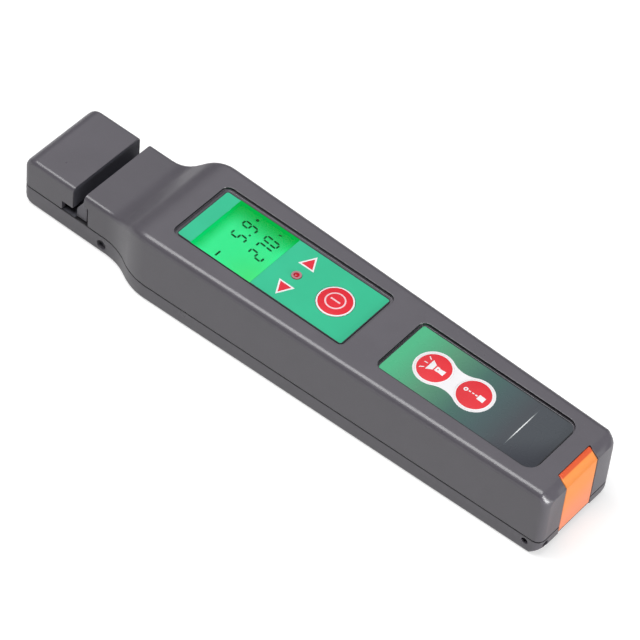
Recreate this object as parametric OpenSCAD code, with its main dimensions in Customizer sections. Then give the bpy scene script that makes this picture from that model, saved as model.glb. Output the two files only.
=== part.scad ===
// Optical fibre identifier: a hand-held clip-on tester.
// X runs from the head to the tail, Z is up through the display, Y is across.
// The origin is under the middle of the back, on the plane that the tool lies on.

/* [Body] */
// Width of the body just behind the neck
body_w_head = 41.2; // [40.4:0.2:43.4]
// Width of the body at its tail
body_w_tail = 33.8; // [33.2:0.2:36]
// Height of the body
body_h = 27; // [26.5:0.1:29]
// Thickness of the moulded walls
wall = 1.8; // [1.6:0.05:1.9]
// Height of the parting line along the body
seam_h_body = 6.2; // [5.8:0.1:6.6]
// Radius of the long top edges along the body
top_fillet = 2.4; // [2:0.1:3]
// Radius of the top edges along the head and the neck
head_fillet = 1.6; // [1.2:0.1:2]
// Radius of the long bottom edges
bottom_fillet = 1.2; // [0.8:0.1:1.6]
// Radius of the upright tail corners
tail_corner_r = 2.6; // [2.2:0.1:3.6]
// Length of the sloped faces at the tail
tail_slope_len = 3.4; // [2.8:0.1:3.8]
// Height of the sloped faces at the tail
tail_slope_h = 3.2; // [2.6:0.1:3.4]
// Thickness of the solid tail wall
tail_wall = 5; // [4.6:0.1:5.6]
// From the control recess to the tail
tail_margin = 9.9; // [9.4:0.1:14]

/* [Head and neck] */
// Width of the head and the neck
head_w = 30.6; // [30.2:0.2:31.6]
// Height of the head and the neck
head_h = 19.4; // [19.2:0.1:20.4]
// Height of the parting line along the head
seam_h_head = 7.2; // [6.9:0.1:7.4]
// Length of the head cap
cap_len = 20.4; // [20:0.1:22]
// Radius of the upright corners of the cap
head_corner_r = 2.4; // [1.8:0.1:3.2]
// Radius of the cap's front top edge
head_top_r = 4.8; // [4:0.1:5.4]
// Radius of the front bottom edge
head_bottom_r = 4; // [3:0.1:5]
// Width of the fibre slot
slot_w = 4.4; // [4.3:0.05:4.8]
// Length of the straight neck
neck_len = 9; // [8.6:0.1:11]
// Length of the flare from the neck to the body
flare_len = 20; // [18:0.5:22]
// Depth of the catch under the cap that keeps the fibre in
notch_len = 4.4; // [4.2:0.1:5]
// Height of the catch, which takes a jacket of three millimetres
notch_h = 3.8; // [3.4:0.05:4]
// Room over the cheeks of the plunger, under the roof of the neck
cheek_gap = 2.8; // [2.4:0.1:3]

/* [Display panel] */
// Width of the display recess
display_w = 25.8; // [25.4:0.1:26.4]
// Gap between the flare and the display recess
display_gap = 3.4; // [3:0.1:5]
// Corner radius of the display recess
display_r = 2.5; // [1.5:0.1:3.5]
// Bare strip between a membrane and the edge of its recess
overlay_margin = 1.1; // [0.6:0.1:1.3]
// Thickness of the membranes
overlay_t = 0.4; // [0.3:0.05:0.5]
// How far a membrane lies under the top face
overlay_drop = 1; // [0.7:0.1:1.2]
// Length of the display window
window_len = 23.1; // [21:0.1:24]
// Width of the display window
window_w = 23.2; // [21:0.1:23.3]
// From the membrane's head edge to the window
window_inset = 5.6; // [5:0.1:6.5]
// From the window to the status light
light_gap = 8.3; // [7:0.1:10]
// From the status light to the power key
light_pitch = 14.9; // [14:0.1:17]
// From the power key to the recess's tail edge
power_key_inset = 12.9; // [12:0.1:14]

/* [Control panel] */
// Width of the control recess
control_w = 23.2; // [22.6:0.1:24.5]
// Gap between the two recesses
panel_gap = 11.2; // [10:0.1:12]
// Corner radius of the control recess at its tail end
control_tail_r = 4; // [3:0.1:4.4]

/* [Keys] */
// Radius of a key
key_r = 5.85; // [5.4:0.05:6.2]
// Height of a key's dome
key_dome = 0.5; // [0.3:0.05:0.7]
// How far a key goes down
key_travel = 0.5; // [0.3:0.05:0.6]
// Distance between the torch key and the laser key
key_pitch = 14.7; // [14.4:0.1:16]
// From the control recess's head edge to the torch key
torch_key_inset = 13.2; // [12.5:0.1:14]
// From the laser key to the control recess's tail edge
laser_key_inset = 29.9; // [26:0.1:32]

/* [Trigger and plunger] */
// How far the plunger is drawn back
plunger_travel = 4.4; // [4.2:0.05:4.6]
// How far the trigger swings, in degrees
trigger_swing = 12; // [11:0.25:13]
// From the neck's front to the trigger pin
pin_inset = 7.5; // [7.1:0.1:8]
// Height of the trigger pin
pin_h = 3.5; // [3.3:0.05:3.7]
// Radius of the trigger pin
pin_r = 1.65; // [1.5:0.05:1.75]
// Half the length of the trigger pin
pin_half = 13.8; // [13.6:0.1:14.2]
// Length of the finger pad from the pin
pad_len = 23; // [21:0.1:23.2]

/* [Cells] */
// Radius of a cell
cell_r = 5.25; // [5:0.05:5.3]
// Length of a cell with its button
cell_len = 44.5; // [43:0.1:45]

/* [Tail ports] */
// Width of the port cover
cover_w = 14.6; // [13:0.1:15.4]
// Thickness of the port cover
cover_t = 1.5; // [1.2:0.1:1.7]
// Height of the cover's hinge pin
cover_pin_h = 4.6; // [4.4:0.1:4.8]
// Radius of the bore for a ferrule
ferrule_r = 1.25; // [1.25:0.05:1.4]
// Depth of the bore for a ferrule
ferrule_depth = 10; // [8:0.1:11]
// Height of the laser port
laser_h = 16.6; // [16.2:0.1:17]
// Height of the torch
torch_h = 9.4; // [9.2:0.1:9.8]

/* [Hidden] */
$fn = 48;

// Overrun of every cut, and the running and seating clearances
over = 1;
run = 0.2;
seat = 0.05;
joint_gap = 0.15;

// Lengths of the panels and of the whole, as chains of what they hold
display_len = overlay_margin + window_inset + window_len + light_gap + light_pitch + power_key_inset;
control_len = torch_key_inset + key_pitch + laser_key_inset;
body_len = cap_len + slot_w + neck_len + flare_len
    + display_gap + display_len + panel_gap + control_len + tail_margin;

// Stations along X
head_x = -body_len / 2;
tail_x = body_len / 2;
cap_x = head_x + cap_len;
neck_x = cap_x + slot_w;
flare_x = neck_x + neck_len;
body_x = flare_x + flare_len;
display_x = body_x + display_gap;
display_end = display_x + display_len;
control_x = display_end + panel_gap;
control_end = control_x + control_len;
cavity_end = tail_x - tail_wall;

// Levels along Z
recess_depth = overlay_drop + overlay_t;
recess_z = body_h - recess_depth;
ceiling_z = recess_z - wall;
floor_z = wall;
deck_z = seam_h_head;
deck_t = 1.8;
board_t = 1.6;
board_gap = 5.8;
board_top = ceiling_z - board_gap;
board_z = board_top - board_t;

// Half width of the outer form, before its ends are rounded
head_half = head_w / 2;
body_half = body_w_head / 2;
tail_half = body_w_tail / 2;

// Two equal arcs that climb h over a run of l
function s_curve(x, l, h) =
    let (r = (l * l + h * h) / (4 * h))
    x <= 0 ? 0 :
    x >= l ? h :
    x < l / 2 ? r - sqrt(r * r - x * x) :
    h - r + sqrt(r * r - (l - x) * (l - x));

// How far a corner of radius r has come in, d from its end
function corner(d, r) = d >= r ? 0 : r - sqrt(max(0, r * r - (r - d) * (r - d)));

function side(x) =
    x <= body_x ? head_half + s_curve(x - flare_x, flare_len, body_half - head_half) :
    body_half + (tail_half - body_half) * (x - body_x) / (tail_x - body_x);

function crown(x) = head_h + s_curve(x - flare_x, flare_len, body_h - head_h);

function edge_r(x) = head_fillet + s_curve(x - flare_x, flare_len, top_fillet - head_fillet);

function slope(x) = max(0, (x - (tail_x - tail_slope_len)) / tail_slope_len) * tail_slope_h;

function outer_side(x) =
    side(x) - corner(x - head_x, head_corner_r) - corner(tail_x - x, tail_corner_r);

function outer_top(x) = crown(x) - corner(x - head_x, head_top_r) - slope(x);

function outer_bottom(x) = corner(x - head_x, head_bottom_r) + slope(x);

function inner_top(x) = crown(x) - wall - s_curve(x - flare_x, flare_len, recess_depth);

// One closed section at x: the half width w, the bottom z0, the top z1, the edge radii
top_steps = 5;
bottom_steps = 2;

function ring(x, w, z0, z1, rb, rt) = concat(
    [for (i = [0:bottom_steps]) let (a = 90 * i / bottom_steps)
        [x, w - rb + rb * sin(a), z0 + rb - rb * cos(a)]],
    [for (i = [0:top_steps]) let (a = 90 * i / top_steps)
        [x, w - rt + rt * cos(a), z1 - rt + rt * sin(a)]],
    [for (i = [0:top_steps]) let (a = 90 - 90 * i / top_steps)
        [x, -(w - rt + rt * cos(a)), z1 - rt + rt * sin(a)]],
    [for (i = [0:bottom_steps]) let (a = 90 - 90 * i / bottom_steps)
        [x, -(w - rb + rb * sin(a)), z0 + rb - rb * cos(a)]]
);

// Skin over a list of rings, closed at both ends
module skin(rings) {
    n = len(rings);
    m = len(rings[0]);
    polyhedron(
        points = [for (r = rings) each r],
        faces = concat(
            [[for (j = [0:m - 1]) j]],
            [for (i = [0:n - 2]) for (j = [0:m - 1])
                let (k = (j + 1) % m)
                each [
                    [i * m + j, (i + 1) * m + j, (i + 1) * m + k],
                    [i * m + j, (i + 1) * m + k, i * m + k]
                ]],
            [[for (j = [0:m - 1]) n * m - 1 - j]]
        )
    );
}

// Stations of the rings, closer together where the form turns
corner_steps = 4;
flare_steps = 12;
front_steps = 6;
front_r = max(head_top_r, head_bottom_r, head_corner_r);
head_stations = [for (i = [0:front_steps]) head_x + front_r * (1 - cos(90 * i / front_steps))];
flare_stations = [for (i = [0:flare_steps]) flare_x + flare_len * i / flare_steps];
tail_stations = concat(
    [tail_x - max(tail_corner_r, tail_slope_len), tail_x - min(tail_corner_r, tail_slope_len)],
    [for (i = [1:corner_steps]) tail_x - tail_corner_r * (1 - sin(90 * i / corner_steps))]
);

function inside(stations, x0, x1) =
    concat([x0], [for (x = stations) if (x > x0 + seat && x < x1 - seat) x], [x1]);

module outer_form() {
    skin([for (x = concat(head_stations, flare_stations, tail_stations))
        ring(x, outer_side(x), outer_bottom(x), outer_top(x), bottom_fillet, edge_r(x))]);
}

// Room inside the shells between two stations, behind a front wall that fits its round edges
front_wall = 3;
inner_fillet = 0.6;
module room(x0, x1) {
    skin([for (x = inside(flare_stations, x0, x1))
        ring(x, side(x) - wall, floor_z, inner_top(x), inner_fillet, inner_fillet)]);
}

// A block from one corner to the other
module block(a, b) translate(a) cube(b - a);

// Two blocks, one on each side of the middle
module pair(a, b) {
    block(a, b);
    mirror([0, 1, 0]) block(a, b);
}

module rod_x(x0, x1, y, z, r) translate([x0, y, z]) rotate([0, 90, 0]) cylinder(h = x1 - x0, r = r);

module rod_y(x, z, y0, y1, r) translate([x, y1, z]) rotate([90, 0, 0]) cylinder(h = y1 - y0, r = r);

module rod_z(x, y, z0, z1, r) translate([x, y, z0]) cylinder(h = z1 - z0, r = r);

// Rectangle from corner to corner with a radius at its head end and one at its tail end
module rounded(x0, x1, half, rh, rt) {
    translate([x0 + rh, -half]) square([x1 - x0 - rh - rt, 2 * half]);
    translate([x0, rh - half]) square([rh, 2 * (half - rh)]);
    translate([x1 - rt, rt - half]) square([rt, 2 * (half - rt)]);
    for (s = [-1, 1]) {
        translate([x0 + rh, s * (half - rh)]) circle(r = rh);
        translate([x1 - rt, s * (half - rt)]) circle(r = rt);
    }
}

module slab(x0, x1, half, rh, rt, z0, z1) {
    translate([0, 0, z0]) linear_extrude(z1 - z0) rounded(x0, x1, half, rh, rt);
}

// Everything under the parting line, which falls from the head to the body
module under_seam(gap) {
    rotate([90, 0, 0]) translate([0, 0, -body_w_head])
        linear_extrude(2 * body_w_head) polygon([
            [head_x - over, -over],
            [tail_x + over, -over],
            [tail_x + over, seam_h_body + gap],
            [body_x, seam_h_body + gap],
            [flare_x, seam_h_head + gap],
            [head_x - over, seam_h_head + gap]
        ]);
}

// Gap of the parting line, and the screws of the case: places, shank and head
seam_gap = 0.3;
screw_r = 1.3;
screw_head_r = 2.2;
screw_head_h = 1.4;
screw_clear = 0.2;
boss_r = 2.6;
low_boss_r = 3.2;
screw_sink = 0.6;
case_screw_len = 14;
case_screw_inset = 5.7;
case_screw_edge = 4.9;
case_screw_setback = 4;
cap_screw_inset = 5.6;
cap_screw_x = head_x + cap_screw_inset;
cap_screw_y = 9;
cap_screw_len = 12;
cap_boss_r = 2.4;

// Trigger: pin axis, pad, arm and the cross bar that draws the plunger
pin_x = neck_x + pin_inset;
hub_r = 2.9;
hub_half = 8;
pad_half = 7.6;
pad_t = 1.5;
pad_lift = 0.3;
arm_half = 4.2;
bar_run = 16;
bar_rise = 6;
bar_r = 1.5;
bar_half = 7.2;
pin_hole_r = pin_r + seat;
trigger_gap = 0.4;

// Where the cross bar has gone, seen from the plunger, when the trigger is right in
bar_run_end = bar_run * cos(trigger_swing) - bar_rise * sin(trigger_swing) - plunger_travel;
bar_rise_end = bar_run * sin(trigger_swing) + bar_rise * cos(trigger_swing);
bar_x = pin_x + bar_run;
bar_z = pin_h + bar_rise;
bar_x_end = pin_x + bar_run_end;
bar_z_end = pin_h + bar_rise_end;
slot_clear = 0.3;
slot_r = bar_r + slot_clear;
slot_reach = norm([bar_x_end - bar_x, bar_z_end - bar_z]);
slot_lean = atan2(bar_z_end - bar_z, bar_x_end - bar_x);

// Finger face of the trigger, and its return spring
pad_tip_r = 3;
grip_count = 5;
grip_pitch = 2.6;
grip_inset = 4;
grip_r = 0.6;
spring_setback = 4.6;
spring_rise = 4.6;
spring_x = bar_x + spring_setback;
spring_r = 2.2;
spring_wire = 0.35;
spring_turns = 6;
spring_seat_r = 3.3;
spring_bottom = pad_lift + pad_t + seat;
spring_top = bar_z + spring_rise;

// Plunger: block, channel for the arm, cheeks and cam plates
guide_half = head_half - wall;
slide_half = guide_half - run - joint_gap;
plunger_z = deck_z + run;
plunger_top = head_h - wall - cheek_gap;
cheek_t = 1.5;
cheek_slope = 2.3;
cheek_fall = 3.8;
block_len = 12.7;
channel_inset = 3.2;
slot_edge = 1.1;
plate_rise = 3.3;
edge_setback = 1.7;
// Face of a cheek, nearly flush with the neck, and the wall left outside its pocket
cheek_lead = 0.8;
cheek_back = 0.4;
cheek_skin = 0.8;
cheek_x = cap_x + cheek_lead;
cheek_half = head_half - cheek_skin - run - joint_gap;
block_end = neck_x + block_len;
channel_x = neck_x + channel_inset;
channel_half = arm_half + slot_clear;
plate_t = 2.2;
plate_z = pin_h + plate_rise;
plate_top = bar_z_end + slot_r + slot_edge;
plate_end = bar_x + slot_r + slot_edge;
plate_x = block_end - over;
closed_x = cap_x + run;

// Bend pad: nose height, reach and radius
nose_z = deck_z + run + seat;
nose_top = deck_z + notch_h - run;
nose_half = 7;
nose_r = 15;
nose_reach = 1.2;
bend_base_half = 10.6;

// Black linings of the slot, which keep stray light out: on the cap's face and on the deck
lining_t = 0.8;
lining_edge = 0.5;
lining_half = head_half - lining_edge;
lining_r = head_fillet - lining_edge;

// Detector head in the cap
anvil_half = 8;
anvil_setback = 3.2;
anvil_len = 5.7;
anvil_x1 = cap_x - anvil_setback;
anvil_x0 = anvil_x1 - anvil_len;
anvil_h = 5.3;
anvil_gap = 2;
diode_r = 1.2;
diode_y = 4.5;
diode_z = deck_z + notch_h / 2;
diode_len = 3.4;
lens_r = 0.8;
detector_t = 1.6;
detector_x1 = anvil_x0 - seat;
detector_x0 = detector_x1 - detector_t;
detector_gap = 1.4;

// Flat flex from the detector board to the main board
flex_t = 0.3;
flex_y0 = 10.1;
flex_y1 = 12.3;
flex_x0 = detector_x0 - flex_t;
flex_end = 2.9;
flex_sink = 0.4;
flex_x1 = body_x + flex_end;
flex_z = floor_z - flex_sink + seat;
flex_tail = 6;
flex_rise = 4;
flex_slot = 0.5;

// Display stack on the main board
window_x = display_x + overlay_margin + window_inset;
window_end = window_x + window_len;
window_lip = 0.4;
lcd_side = 3.3;
lcd_x0 = window_x - lcd_side;
lcd_x1 = window_end + lcd_side;
lcd_half = window_w / 2 + window_lip + seat;
backlight_t = 3;
glass_t = 2.2;
gasket_t = ceiling_z - board_top - backlight_t - glass_t;
view_side = 0.7;
zebra_w = 1.4;

// Keys, their flanges, stems and switches
key_gap = 0.15;
key_hole_r = key_r + key_gap;
flange_proud = 1.05;
flange_r = key_r + flange_proud;
flange_t = 0.7;
flange_gap = 0.2;
stem_r = 1.7;
switch_side = 6;
switch_h = 3.5;
switch_bore = 2.1;
stem_in = 1.3;
power_x = display_end - power_key_inset;
torch_x = control_x + torch_key_inset;
laser_x = torch_x + key_pitch;
keys_at = [power_x, torch_x, laser_x];
flange_z = ceiling_z - flange_gap - flange_t;
switch_top = board_top + switch_h;

// Lamps beside the power key
status_x = power_x - light_pitch;
status_r = 1.6;
status_rise = 0.25;
lamp_h = 1;
lamp_side = 1.6;
arrow_y = 6.4;
arrow_hole_r = 1.9;

// Main board
board_inset = 4.7;
board_reach = 8.3;
board_step = 13.6;
board_x0 = body_x + board_inset;
board_x1 = laser_x + board_reach;
board_step_x = display_end - board_step;
board_half_head = 12.3;
board_half_tail = 11.1;
post_r = 2;
post_screw_r = 0.9;
post_head_r = 1.9;
post_head_h = 1.2;
post_screw_len = 5;
post_len = post_head_h + board_t + post_screw_len - over;
post_edge = 2.6;
post_before_key = 8.7;
post_before_panel = 4.8;
post_behind_key = 6.2;
posts_at = [
    [power_x - post_before_key, board_half_head - post_edge],
    [control_x - post_before_panel, board_half_tail - post_edge],
    [laser_x + post_behind_key, board_half_tail - post_edge]
];

// Ports, then the cells between their ribs and the door under them, each from the one behind it
bay_gap = 0.35;
rib_t = 1.2;
rib_h = 9.8;
spring_len = 2.8;
contact_t = 0.6;
cell_gap = 0.35;
port_r = 3;
port_len = 12.2;
port_flange_r = 4.2;
port_flange_t = 1.4;
laser_r = 4.5;
laser_len = 16;
cover_gap = 0.2;
cover_x = tail_x - cover_t;
port_face = cover_x - cover_gap - seat;
port_x = port_face - port_len;
laser_x0 = port_x - laser_len;
cell_x1 = laser_x0 - bay_gap;
cell_x0 = cell_x1 - cell_len;
bay_x0 = cell_x0 - spring_len;
bay_x1 = cell_x1 + contact_t + seat;
rib_x0 = bay_x0 - rib_t;
door_x0 = rib_x0 - rib_t;
cell_y = cell_r + cell_gap;
door_lift = 0.2;
door_t = 1.6;
door_step = 0.8;
door_half = 11;
tongue = 1.1;
door_gap = 0.15;
door_end = tail_x - tail_slope_len - joint_gap;
case_screw_x1 = body_x + case_screw_inset;
case_screw_x2 = door_x0 - case_screw_setback;
case_screws_at = [
    [case_screw_x1, side(case_screw_x1) - case_screw_edge],
    [case_screw_x2, side(case_screw_x2) - wall - boss_r - seat]
];
cell_z = door_lift + door_t + cell_gap + cell_r;
rail_half = 1.25;
rail_h = 1.2;
cell_button_r = 1.9;
cell_button_h = 1;
rib_half = door_half + cell_gap;
plate_half = 4;
contact_spring_r = 2.6;
contact_turns = 2;

// Tail: hinge of the port cover, torch, small board and lanyard eye
hinge_r = 0.75;
hinge_y0 = -9.6;
hinge_y1 = 14.4;
torch_r = 2.5;
torch_rim = 0.4;
lens_disc_r = 2.95;
lens_disc_t = 0.8;
lens_gap = 0.3;
torch_tip = port_face - lens_disc_t - lens_gap;
torch_len = 8.4;
lamp_x = torch_tip - torch_len;
tail_board_half = 8;
tail_board_below = 4.6;
tail_board_above = 3.4;
tail_board_x = lamp_x - board_t - seat;
standoff_r = 1.5;
standoff_y = 6;
saddle_w = 2;
saddle_half = 3;
saddle_inset = 2.5;
eye_r = 1.15;
eye_h = 4.2;
eye_inset = 5.2;
eye_edge = 3.4;
eye_x = tail_x - eye_inset;
eye_y = outer_side(eye_x) - eye_edge;

// Control membrane, chips and buzzer
control_margin = 0.5;
chip_inset = 49;
chip_side = 10;
chip_h = 1.6;
leg_t = 0.2;
leg_len = 1.1;
leg_count = 10;
amp_inset = 7;
amp_y = 5.5;
amp_len = 5;
amp_w = 4;
buzzer_inset = 25;
buzzer_r = 4.5;
buzzer_h = 4;
helix_steps = 10;
helix_sides = 6;

// Places on both sides of the middle
module both_sides(places) {
    for (p = places) for (s = [-1, 1]) translate([p[0], s * p[1], 0]) children();
}

// Screw that stands on its head, from z upwards
module screw(z, head_r, head_h, shank_r, len) {
    difference() {
        union() {
            rod_z(0, 0, z, z + head_h, head_r);
            rod_z(0, 0, z, z + len, shank_r);
        }
        translate([0, 0, z]) cylinder(h = head_h, r = head_r / 2, center = true, $fn = 6);
    }
}

// Outline of the port cover: up the end face and over the slope, with room g inside it.
// Where there is room, the outline also runs past the outer form.
slope_run = norm([tail_slope_len, tail_slope_h]);
module cover_outline(g) {
    t = cover_t + g;
    past = g > 0 ? over : 0;
    down = [tail_slope_len, -tail_slope_h] / slope_run;
    inward = [-tail_slope_h, -tail_slope_len] / slope_run;
    lip = [tail_x - tail_slope_len, body_h] - g * down;
    bend_z = body_h - tail_slope_h - t * (slope_run - tail_slope_h) / tail_slope_len;
    polygon([
        [tail_x + past, cover_pin_h],
        [tail_x + past, body_h - tail_slope_h + past],
        lip - past * inward,
        lip + t * inward,
        [tail_x - t, bend_z],
        [tail_x - t, cover_pin_h]
    ]);
}

module cover_room(g) {
    rotate([90, 0, 0]) translate([0, 0, -cover_w / 2 - g])
        linear_extrude(cover_w + 2 * g) cover_outline(g);
    rod_y(cover_x, cover_pin_h, -cover_w / 2 - g, cover_w / 2 + g, cover_t + g);
    // Room under the hinge, where the open cover lies
    if (g > 0)
        block([cover_x, -cover_w / 2 - g, cover_pin_h - cover_t - g],
              [tail_x + over, cover_w / 2 + g, cover_pin_h]);
}

module lower_shell() color("#67666b") {
    difference() {
        intersection() {
            outer_form();
            union() {
                difference() {
                    under_seam(0);
                    difference() {
                        room(head_x + front_wall, cavity_end);
                        lower_deck();
                    }
                }
                lower_inside();
            }
        }
        lower_cuts();
    }
}

// Deck under the slot, which the plunger slides on
module lower_deck() {
    block([head_x, -body_half, deck_z - deck_t], [pin_x - hub_r - run, body_half, deck_z + over]);
    pair([head_x, hub_half + run, deck_z - deck_t],
         [block_end + plunger_travel / 2, body_half, deck_z + over]);
}

module lower_inside() {
    // Ears that carry the trigger pin
    pair([pin_x - hub_r, hub_half + run, floor_z - seat],
         [pin_x + hub_r, hub_half + run + rib_t, deck_z - deck_t + seat]);
    both_sides(case_screws_at) rod_z(0, 0, floor_z - seat, seam_h_body, low_boss_r);
    both_sides([[cap_screw_x, cap_screw_y]])
        rod_z(0, 0, floor_z - seat, deck_z - deck_t + seat, cap_boss_r);
    // Ribs at both ends of the cells, and the rails over the door's tongues
    for (x = [rib_x0, bay_x1])
        block([x, -rib_half, floor_z + seat], [x + rib_t, rib_half, floor_z + seat + rib_h]);
    pair([rib_x0, door_half - joint_gap, floor_z + seat],
         [cavity_end + over, door_half + tongue + rail_half, floor_z + seat + rail_h]);
    // Solid corner for the lanyard
    block([eye_x - eye_edge, -body_half, floor_z - seat],
          [tail_x, -eye_y + eye_r + rib_t, seam_h_body]);
}

module lower_cuts() {
    // Opening for the trigger, and room for its hub and arm
    block([pin_x - hub_r - run, -pad_half - trigger_gap, -over],
          [pin_x + pad_len + trigger_gap, pad_half + trigger_gap, floor_z + seat]);
    rod_y(pin_x, pin_h, -head_w, head_w, pin_hole_r);
    // Door: opening, grooves for its tongues and the way out at the tail
    block([door_x0 - door_gap, -door_half - door_gap, -over],
          [tail_x + over, door_half + door_gap, floor_z + seat]);
    block([door_x0 - door_gap, -door_half - tongue - door_gap, door_lift + door_step - door_gap],
          [tail_x + over, door_half + tongue + door_gap, floor_z + seat]);
    both_sides(case_screws_at) {
        rod_z(0, 0, -over, screw_sink + screw_head_h, screw_head_r + screw_clear);
        rod_z(0, 0, -over, seam_h_body + over, screw_r + screw_clear);
    }
    both_sides([[cap_screw_x, cap_screw_y]]) {
        rod_z(0, 0, -over, screw_sink + screw_head_h, screw_head_r + screw_clear);
        rod_z(0, 0, -over, deck_z + over, screw_r + screw_clear);
    }
    lining_deck(seat, over);
    // Way through the deck for the flex, and its groove along the floor
    block([flex_x0 - flex_slot, flex_y0 - flex_slot, floor_z],
          [detector_x0 + flex_slot, flex_y1 + flex_slot, deck_z + over]);
    block([flex_x0 - flex_slot, flex_y0 - flex_slot, floor_z - flex_sink],
          [flex_x1 + flex_slot, flex_y1 + flex_slot, floor_z + seat]);
    cover_room(cover_gap);
    rod_y(cover_x, cover_pin_h, hinge_y0 - joint_gap, body_half, hinge_r + seat);
    // Lanyard eye, round the corner
    rod_y(eye_x, eye_h, -body_half, -eye_y, eye_r);
    rod_x(eye_x, tail_x + over, -eye_y, eye_h, eye_r);
    translate([eye_x, -eye_y, eye_h]) sphere(r = eye_r);
}

module upper_shell() color("#6b696e") {
    intersection() {
        outer_form();
        difference() {
            union() {
                difference() {
                    block([neck_x, -body_w_head, 0], [tail_x + over, body_w_head, body_h + over]);
                    under_seam(seam_gap);
                    room(neck_x + wall, cavity_end);
                }
                upper_inside();
            }
            upper_cuts();
        }
    }
}

module upper_inside() {
    both_sides(case_screws_at) rod_z(0, 0, seam_h_body + joint_gap, ceiling_z + seat, boss_r);
    both_sides(posts_at) rod_z(0, 0, board_top, ceiling_z + seat, post_r);
    // Ribs that keep the plunger down
    pair([neck_x + wall, channel_half + plate_t + run, plunger_top + run],
         [block_end, channel_half + plate_t + run + rib_t, head_h - wall / 2]);
    // Seat of the trigger spring
    rod_z(spring_x, 0, spring_top, crown(spring_x) - wall, spring_seat_r);
    // Saddles of the laser module
    for (x = [laser_x0 + saddle_inset, port_x - saddle_inset - saddle_w])
        block([x, -saddle_half, laser_h], [x + saddle_w, saddle_half, ceiling_z + seat]);
    // Standoffs of the tail board
    for (s = [-1, 1])
        rod_x(tail_board_x + board_t, cavity_end + seat, s * standoff_y, torch_h, standoff_r);
}

module upper_cuts() {
    // Open front for the plunger, and the side edges of the neck
    block([neck_x - over, -guide_half, 0], [neck_x + wall + seat, guide_half, plunger_top + run]);
    block([neck_x - over, -head_w, 0], [neck_x + edge_setback, head_w, plunger_top + run]);
    // Pockets that the cheeks go back into
    block([neck_x - over, cheek_skin - head_half, 0],
          [neck_x + cheek_back + plunger_travel + run, head_half - cheek_skin, plunger_top + run]);
    slab(display_x, display_end, display_w / 2, display_r, display_r, recess_z, body_h + over);
    slab(control_x, control_end, control_w / 2, display_r, control_tail_r, recess_z, body_h + over);
    block([window_x + window_lip, -window_w / 2 + window_lip, ceiling_z - over],
          [window_end - window_lip, window_w / 2 - window_lip, recess_z + over]);
    for (x = keys_at) rod_z(x, 0, ceiling_z - over, recess_z + over, key_hole_r);
    rod_z(status_x, 0, ceiling_z - over, recess_z + over, status_r + seat);
    both_sides([[status_x, arrow_y]]) rod_z(0, 0, ceiling_z - over, recess_z + over, arrow_hole_r);
    both_sides(case_screws_at) rod_z(0, 0, 0, screw_sink + case_screw_len + over, screw_r + seat);
    both_sides(posts_at) rod_z(0, 0, 0, board_top + post_screw_len, post_screw_r + seat);
    cover_room(cover_gap);
    rod_x(port_x - over, tail_x, 0, laser_h, port_r + seat);
    rod_x(cavity_end - over, cavity_end + port_flange_t, 0, laser_h, port_flange_r + seat);
    rod_x(cavity_end - over, tail_x, 0, torch_h, torch_r + joint_gap);
    rod_x(port_face - lens_disc_t - seat, tail_x, 0, torch_h, lens_disc_r + seat);
    rod_x(laser_x0 - over, port_x + over, 0, laser_h, laser_r + seat);
}

module head_cap() color("#69686c") {
    difference() {
        intersection() {
            outer_form();
            difference() {
                union() {
                    difference() {
                        block([head_x - over, -head_w, 0], [cap_x, head_w, head_h + over]);
                        room(head_x + front_wall, cap_x - wall);
                    }
                    both_sides([[cap_screw_x, cap_screw_y]])
                        rod_z(0, 0, deck_z, head_h - wall + seat, cap_boss_r);
                    // Ribs over the anvil and behind the detector board
                    block([anvil_x0, -anvil_half, deck_z + anvil_h + seat],
                          [anvil_x0 + rib_t, anvil_half, head_h - wall / 2]);
                }
                under_seam(seam_gap);
            }
        }
        block([cap_x - notch_len, -head_w, 0], [cap_x + over, head_w, deck_z + notch_h]);
        lining_face(seat, over);
        both_sides([[cap_screw_x, cap_screw_y]])
            rod_z(0, 0, 0, screw_sink + cap_screw_len + over, screw_r + seat);
    }
}

// Lining of the cap's face with room g round it, which runs out by a length past the face
module lining_face(g, past) {
    z1 = head_h - lining_edge - lining_r;
    translate([cap_x - lining_t - g, 0, 0]) rotate([90, 0, 90]) linear_extrude(lining_t + g + past) {
        translate([-lining_half - g, deck_z + notch_h - past])
            square([2 * (lining_half + g), z1 - deck_z - notch_h + past]);
        translate([lining_r - lining_half, z1]) square([2 * (lining_half - lining_r), lining_r + g]);
        for (s = [-1, 1]) translate([s * (lining_half - lining_r), z1]) circle(r = lining_r + g);
    }
}

module cap_liner() color("#1b1d22") {
    lining_face(0, 0);
}

// Lining of the deck with room g round it, which runs up by a length past the deck. It is as wide
// as the head up to the cheeks, and then lies between them.
module lining_deck(g, past) {
    narrow = slide_half - cheek_t - run;
    block([cap_x - notch_len - g, -lining_half - g, deck_z - lining_t - g],
          [cheek_x - run + g, lining_half + g, deck_z - seat + past]);
    block([cap_x, -narrow - g, deck_z - lining_t - g], [neck_x + g, narrow + g, deck_z - seat + past]);
}

module slot_pad() color("#1b1d22") {
    lining_deck(0, 0);
}

module anvil_block() color("#1d2024") {
    difference() {
        block([anvil_x0, -anvil_half, deck_z],
              [anvil_x1 + anvil_gap / 2, anvil_half, deck_z + anvil_h - seat]);
        // Front step under the catch, hollowed to the nose's curve
        block([anvil_x1, -anvil_half - over, deck_z + notch_h],
              [cap_x, anvil_half + over, deck_z + anvil_h + over]);
        rod_z(anvil_x1 + nose_r - nose_reach / 2, 0, deck_z - over, deck_z + anvil_h + over, nose_r);
        for (s = [-1, 1]) {
            rod_x(anvil_x0 - over, anvil_x0 + diode_len, s * diode_y, diode_z, diode_r + seat);
            rod_x(anvil_x0, anvil_x1 + over, s * diode_y, diode_z, lens_r);
        }
    }
}

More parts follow.
